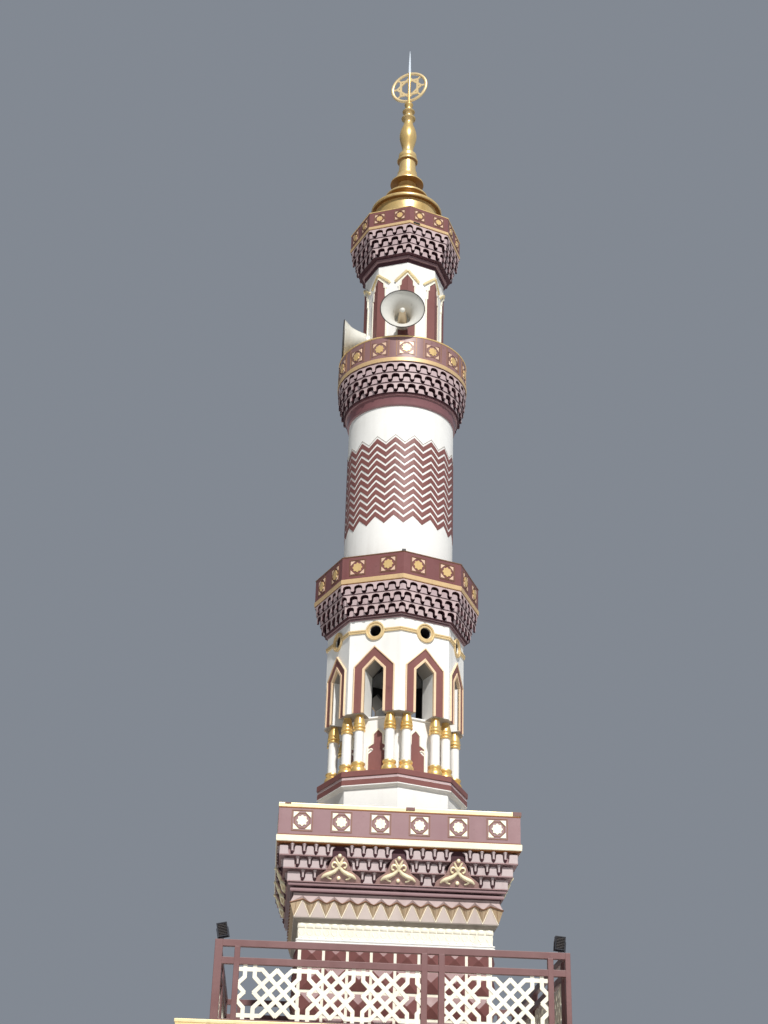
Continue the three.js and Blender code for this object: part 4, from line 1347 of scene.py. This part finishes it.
def build_round_balcony():
    cove = round_ring(ROUND_INNER, [
        (0.668, 11.516), (0.684, 11.519), (0.69, 11.524), (0.694, 11.54), (0.699, 11.636), (0.701, 11.64),
        (0.716, 11.641), (0.721, 11.645), (0.723, 11.66), (0.72, 11.672), (0.7, 11.676),
    ])
    piece("round_cove", cove, COVE_GLOSS, smooth=40.0)
    cells, screens = Shape(), Shape()
    for row, ((low, high, reach), plane) in enumerate(zip(ROUND_ROWS, web_planes(ROUND_ROWS, ROUND_BAND))):
        pitch = 2 * math.pi * reach / ROUND_CELLS
        shift = 180.0 / ROUND_CELLS if row != 1 else 0.0
        on = round_walls(ROUND_CELLS, reach, shift)
        off = round_walls(ROUND_CELLS, plane, shift + 180.0 / ROUND_CELLS)
        cells.join(everywhere([bell(0.0, low, row_cell(ROUND_CELL, pitch, high - low))], on))
        screens.join(everywhere([screen(0.0, low, high, pitch * plane / reach, ROUND_CELL["neck"])], off))
    piece("round_cells", cells, LILAC)
    piece("round_screens", screens, SCREEN_PAINT)
    # The stepped core behind the cells: dark mauve paint and painted shade
    core = round_ring(ROUND_INNER, recess_steps(ROUND_ROWS, 0.042, ROUND_BAND[1] - 0.015, 0.003, 0.002))
    piece("round_recess", core, RECESS_AND_SHADE, ("round_corbel",))
    gold_band("round", round_ring, ROUND_BAND)
    low, high, reach = ROUND_PARAPET
    wall = round_ring(reach - PARAPET_WALL, [(reach, z) for z in (low, low + 0.1, high - 0.1, high)])
    piece("round_wall", wall, ROUND_PANEL, ("round_parapet",), smooth=30.0)
    walls = round_walls(ROUND_TILES, reach, -0.9)
    tiled_parapet("round", walls, [0.0], 12.272, 0.2, 0.06, STAR_GOLD, CORNER_PINK)
    sides = [strip([(u, low + 0.02), (u, high - 0.03)], 0.003, -0.004, 0.004) for u in (-0.124, 0.124)]
    piece("round_dividers", everywhere(sides, walls), GOLD_BROWN)
    gold_rim("round", round_ring, ROUND_PARAPET, 0.017, STAR_GOLD)


# Top storey: niches and labels that fold round each corner
def folded(shape_of_side, radius):
    """Right and left halves of a shape that is folded round every corner of an octagon."""
    half = radius * SIN_EIGHTH
    total = Shape()
    for place in octagon_walls(radius):
        for side in (-1, 1):
            shape = shape_of_side(side)
            total.join(shape, lambda u, v, w, side=side, place=place: place(-side * half + u, v, w))
    return total


TOP_NICHE = [
    (0.116, 12.14), (0.116, 13.29), (0.124, 13.306), (0.1, 13.318), (0.096, 13.43), (0.106, 13.448),
    (0.078, 13.462), (0.074, 13.53), (0.0, 13.6),
]
TOP_LABEL = [(0.165, 13.525), (0.15, 13.545), (0.0, 13.672)]


def half_niche(side):
    outline = [(0.0, TOP_NICHE[0][1])] + TOP_NICHE
    return prism(outline if side > 0 else flipped(outline), -0.004, 0.005)


def half_border(side):
    edge = [(side * (u + 0.01), v + 0.002) for u, v in TOP_NICHE[:-1]] + [(0.0, 13.616)]
    return strip(edge, 0.0095, -0.004, 0.014)


def half_label(side):
    return strip([(side * u, v) for u, v in TOP_LABEL], 0.015, -0.004, 0.024)


def build_top_storey():
    keep(WHITE, "top_shaft")
    piece("top_niches", folded(half_niche, TOP_R), MAUVE)
    piece("top_borders", folded(half_border, TOP_R), CREAM)
    piece("top_labels", folded(half_label, TOP_R), GOLD_BAND, bevel=0.003)
    moulding = octagon_ring(TOP_INNER, [(0.566, 13.858), (0.572, 13.863), (0.572, 13.894), (0.566, 13.899)])
    piece("top_mouldings", moulding, MOULD_PAINT)
    # Painted shadow: a dark ring under the moulding
    shadow = octagon_ring(TOP_INNER, [(0.5325, 13.806), (0.545, 13.86)])
    piece("top_painted_shadow", shadow, RECESS_AND_SHADE)
    octagon_corbel("top", TOP_ROWS, TOP_BAND, 4, TOP_CELL, TOP_INNER, "top_corbel")
    # A near-black plate in the band, painted shade in a slot
    slot = block((-0.235, -0.14), (14.3, 14.323), (-0.01, 0.006))
    piece("top_band_slot", Shape().join(slot, octagon_walls(TOP_BAND[2])[0]), SHADE_INSIDE)
    keep(MAUVE_PANEL, "top_parapet")
    walls = octagon_walls(TOP_PARAPET[2])
    tiled_parapet("top", walls, [-0.142, 0.142], 14.448, 0.15, 0.044, STAR_GOLD, CORNER_PINK)
    gold_rim("top", octagon_ring, TOP_PARAPET, 0.012, STAR_GOLD)


def build_floors():
    """Walking surfaces of the four balconies."""
    slabs = square_ring(0.0, [(1.26, 5.80), (1.26, 5.882)], 0.006)
    slabs.join(octagon_ring(0.0, [(0.97, 9.03), (0.97, 9.079)], 0.006))
    slabs.join(round_ring(0.0, [(0.81, 12.1), (0.81, 12.136)], 0.005))
    slabs.join(octagon_ring(0.0, [(0.73, 14.3), (0.73, 14.34)], 0.005))
    piece("balcony_floors", slabs, FLOORING)


# Dome, finial and the ring over it
DOME = [
    (0.43, 14.34), (0.432, 14.345), (0.432, 14.965), (0.478, 14.965), (0.486, 14.972), (0.49, 14.985),
    (0.488, 15.004), (0.478, 15.018), (0.43, 15.047), (0.37, 15.085), (0.305, 15.128), (0.262, 15.147),
    (0.238, 15.162), (0.236, 15.178), (0.25, 15.208), (0.272, 15.222), (0.292, 15.23), (0.302, 15.24),
    (0.304, 15.25), (0.3, 15.262), (0.286, 15.28), (0.236, 15.316), (0.185, 15.352), (0.15, 15.38),
    (0.136, 15.4), (0.128, 15.43), (0.125, 15.5),
]
FINIAL = [
    (0.226, 15.5), (0.232, 15.504), (0.232, 15.52), (0.226, 15.528), (0.212, 15.54), (0.19, 15.562),
    (0.17, 15.592), (0.155, 15.622), (0.143, 15.658), (0.136, 15.69), (0.138, 15.696), (0.138, 15.706),
    (0.134, 15.713), (0.126, 15.72), (0.12, 15.76), (0.116, 15.83), (0.114, 15.9), (0.12, 15.906),
    (0.14, 15.912), (0.146, 15.922), (0.146, 15.936), (0.14, 15.947), (0.126, 15.956), (0.12, 15.964),
    (0.126, 15.974), (0.129, 15.985), (0.127, 16.01), (0.124, 16.04), (0.108, 16.055), (0.09, 16.07),
    (0.08, 16.098), (0.077, 16.127), (0.08, 16.16), (0.088, 16.2), (0.1, 16.245), (0.11, 16.29),
    (0.119, 16.335), (0.121, 16.382), (0.119, 16.42), (0.112, 16.46), (0.1, 16.505), (0.084, 16.55),
    (0.07, 16.59), (0.064, 16.62), (0.062, 16.64), (0.066, 16.652), (0.092, 16.69), (0.1, 16.7),
    (0.102, 16.71), (0.098, 16.718), (0.072, 16.724), (0.056, 16.745), (0.053, 16.765), (0.055, 16.785),
    (0.076, 16.814), (0.087, 16.826), (0.09, 16.836), (0.086, 16.844), (0.06, 16.85), (0.046, 16.872),
    (0.044, 16.9), (0.05, 16.925), (0.058, 16.95), (0.062, 16.962), (0.063, 16.974), (0.058, 16.982),
    (0.04, 16.992), (0.026, 17.006), (0.022, 17.02), (0.022, 17.574),
]
SPIKE = [(0.02, 17.56), (0.02, 17.62), (0.017, 17.72), (0.0115, 17.86), (0.004, 17.995)]


def emblem_shape():
    """Upright ring crossed by an eight-pointed star of two strapwork squares."""
    levels = []
    for x, y in circle(1.0, 72):
        round_bar = circle(1.0, 10)
        levels.append([])
        for a, b in round_bar:
            reach = EMBLEM_R - EMBLEM_BAR + EMBLEM_BAR * a
            levels[-1].append((reach * x, reach * y, 0.017 * b))
    shape = lofted(levels, True)
    for turn, half in ((0.0, 0.009), (math.pi / 4, 0.0094)):
        shape.join(strip(circle(STAR_R, 4, turn), 0.0155, -half, half, True))
    for inner, outer in zip(circle(STAR_R, 8), circle(0.25, 8)):
        shape.join(strip([inner, outer], 0.0115, -0.007, 0.007))
    return shape


def build_dome():
    # Dome and finial gold carry brown painted shade on faces that look down
    piece("dome_gilding", round_ring(0.0, DOME), DOME_GOLD, ("dome",), smooth=32.0)
    finial = turned(section(0.0, FINIAL), 48, 0.0, TOWER)
    piece("finial_gilding", finial, DOME_GOLD, ("finial",), smooth=32.0)
    spike = turned(section(0.0, SPIKE, 0.001), 16, 0.0, TOWER)
    piece("finial_spike", spike, SPIKE_PAINT, smooth=32.0)
    cos_turn, sin_turn = math.cos(EMBLEM_TURN), math.sin(EMBLEM_TURN)

    def place(u, v, w):
        return (TOWER_X + u * cos_turn + w * sin_turn, u * sin_turn - w * cos_turn, EMBLEM_Z + v)

    ring = Shape().join(emblem_shape(), place)
    piece("emblem_ring", ring, RING_GOLD, ("emblem",), smooth=50.0)


# Loudspeaker horns
HORN_BELL = [
    (0.1, 0.27), (0.101, 0.24), (0.112, 0.2), (0.13, 0.16), (0.156, 0.12), (0.192, 0.08), (0.224, 0.054),
    (0.252, 0.032), (0.27, 0.014), (0.276, 0.004), (0.28, -0.001), (0.2835, 0.002), (0.282, 0.009),
    (0.264, 0.03), (0.236, 0.056), (0.214, 0.078), (0.192, 0.102), (0.172, 0.136), (0.155, 0.172),
    (0.14, 0.21), (0.124, 0.255), (0.114, 0.292), (0.1, 0.3), (0.09, 0.302), (0.09, 0.36), (0.082, 0.37),
    (0.0, 0.37), (0.0, 0.29), (0.096, 0.29),
]
HORN_STEM = [
    (0.0, 0.028), (0.024, 0.034), (0.034, 0.054), (0.04, 0.092), (0.046, 0.13), (0.053, 0.19), (0.06, 0.25),
    (0.062, 0.291), (0.0, 0.291),
]
HORN_CAP = [(0.0, 0.012), (0.016, 0.014), (0.027, 0.02), (0.034, 0.032), (0.033, 0.042), (0.0, 0.044)]
HORN_RIM = [
    (0.2745, 0.001), (0.28, -0.0035), (0.2855, -0.001), (0.2865, 0.004), (0.283, 0.011), (0.279, 0.006),
]


def build_horns():
    throat = HORN_BELL[:10]
    liner = [(radius - 0.004, depth) for radius, depth in throat]
    liner += [(radius + 0.003, depth + 0.003) for radius, depth in reversed(throat)]
    # The liner inside the throat carries the darker enamel, as painted shade
    parts = (
        ("bell", HORN_BELL, 48, ENAMEL), ("liner", liner, 48, THROAT_SHADE), ("rim", HORN_RIM, 48, LAMP_BACK),
        ("stem", HORN_STEM, 32, STEM), ("cap", HORN_CAP, 32, ENAMEL),
    )
    mounts = (("front", (-0.084, -0.947, 12.78), -4.0, 0.2), ("left", (-0.8, -0.12, 12.775), -90.0, 0.12))
    for name, (x, y, z), turn, bracket in mounts:
        angle = math.radians(turn)
        cos_turn, sin_turn = math.cos(angle), math.sin(angle)

        def place(u, depth, w, x=x, y=y, z=z, cos_turn=cos_turn, sin_turn=sin_turn):
            return (TOWER_X + x + u * cos_turn - depth * sin_turn, y + u * sin_turn + depth * cos_turn, z + w)

        arm = Shape()
        far = 0.3 + bracket
        for side in (-1, 1):
            path = [(side * 0.03, 0.33), (side * 0.03, far)]
            arm.join(strip(path, 0.006, -0.02, 0.02), place)
        arm.join(block((-0.045, 0.045), (far - 0.02, far - 0.006), (-0.06, 0.06)), place)
        for part, profile, sides, material in parts:
            hides = ("horn_%s" % name,) if part == "bell" else ()
            shape = Shape().join(post(profile, sides, 0.0, 0.0), place)
            piece("horn_%s_%s" % (name, part), shape, material, hides, smooth=40.0)
        piece("horn_%s_bracket" % name, arm, BLACK, bevel=0.002)


# Camera, light and floor
def bearing(heading, rise):
    """Direction at a heading from +Y towards +X, and a rise over the horizon."""
    return Vector((math.sin(heading) * math.cos(rise), math.cos(heading) * math.cos(rise), math.sin(rise)))


def build_camera():
    data = bpy.data.cameras.new("photo_camera")
    data.sensor_width = SENSOR
    data.lens = FOCAL_PIXELS * SENSOR / IMAGE_HEIGHT
    data.clip_end = 200.0
    camera = bpy.data.objects.new("photo_camera", data)
    heading, pitch, roll = (math.radians(a) for a in (CAMERA_HEADING, CAMERA_PITCH, CAMERA_ROLL))
    forward = bearing(heading, pitch)
    level = Vector((math.cos(heading), -math.sin(heading), 0.0))
    lift = level.cross(forward)
    right = level * math.cos(roll) + lift * math.sin(roll)
    up = lift * math.cos(roll) - level * math.sin(roll)
    matrix = Matrix((right, up, -forward)).transposed().to_4x4()
    matrix.translation = Vector(CAMERA_PLACE)
    camera.matrix_world = matrix
    bpy.context.scene.collection.objects.link(camera)
    bpy.context.scene.camera = camera


SUN_AZIMUTH = 8.0
SUN_ELEVATION = 42.0
SUN_STRENGTH = 4.0
WORLD_STRENGTH = 0.3
# Where the sky's brightness changes from left to right, and its strength at both ends
SHADED_SIDE = (-0.9, -0.2, 0.25 * WORLD_STRENGTH, WORLD_STRENGTH)


def build_light():
    data = bpy.data.lights.new("soft_sun", "SUN")
    data.energy = SUN_STRENGTH
    data.angle = math.radians(2.5)
    data.color = (1.0, 0.97, 0.92)
    sun = bpy.data.objects.new("soft_sun", data)
    azimuth, elevation = math.radians(SUN_AZIMUTH), math.radians(SUN_ELEVATION)
    towards = bearing(math.pi - azimuth, elevation)
    sun.rotation_euler = towards.to_track_quat("Z", "Y").to_euler()
    bpy.context.scene.collection.objects.link(sun)
    world = bpy.data.worlds.new("pale_studio")
    world.use_nodes = True
    tree = world.node_tree
    background = tree.nodes["Background"]
    background.inputs["Color"].default_value = (0.75, 0.83, 0.96, 1.0)
    towards_sky = new_node(tree, "ShaderNodeTexCoord", {}, "Generated")
    sideways = new_node(tree, "ShaderNodeSeparateXYZ", {"Vector": towards_sky}, "X")
    tree.links.new(stretched(tree, sideways, *SHADED_SIDE), background.inputs["Strength"])
    bpy.context.scene.world = world
    bpy.context.scene.view_settings.view_transform = "Standard"


def build_floor():
    size = 60.0
    mesh = bpy.data.meshes.new("studio_floor")
    corners = [(-size, -size, 0), (size, -size, 0), (size, size, 0), (-size, size, 0)]
    mesh.from_pydata(corners, [], [(0, 1, 2, 3)])
    floor = bpy.data.objects.new("studio_floor", mesh)
    bpy.context.scene.collection.objects.link(floor)
    look = Finish("studio_floor")
    tone = look.blend(look.spread(look.noise(0.4, 2.0), 0.3, 0.7), (216, 216, 214), (206, 206, 204))
    roughness = look.spread(look.noise(2.0, 2.0), 0.3, 0.7, 0.7, 0.85)
    mesh.materials.append(look.finish(tone, roughness, look.bump(look.noise(30.0), 0.05, 0.001)))


build_camera()
build_light()
build_floor()
build_base()
build_railing()
build_lamps()
build_shaft()
build_frieze()
build_folds()
build_square_corbel()
build_square_parapet()
build_plinth()
build_core()
build_columns()
build_windows()
build_lower_balcony()
build_drum()
build_round_balcony()
build_top_storey()
build_floors()
build_dome()
build_horns()
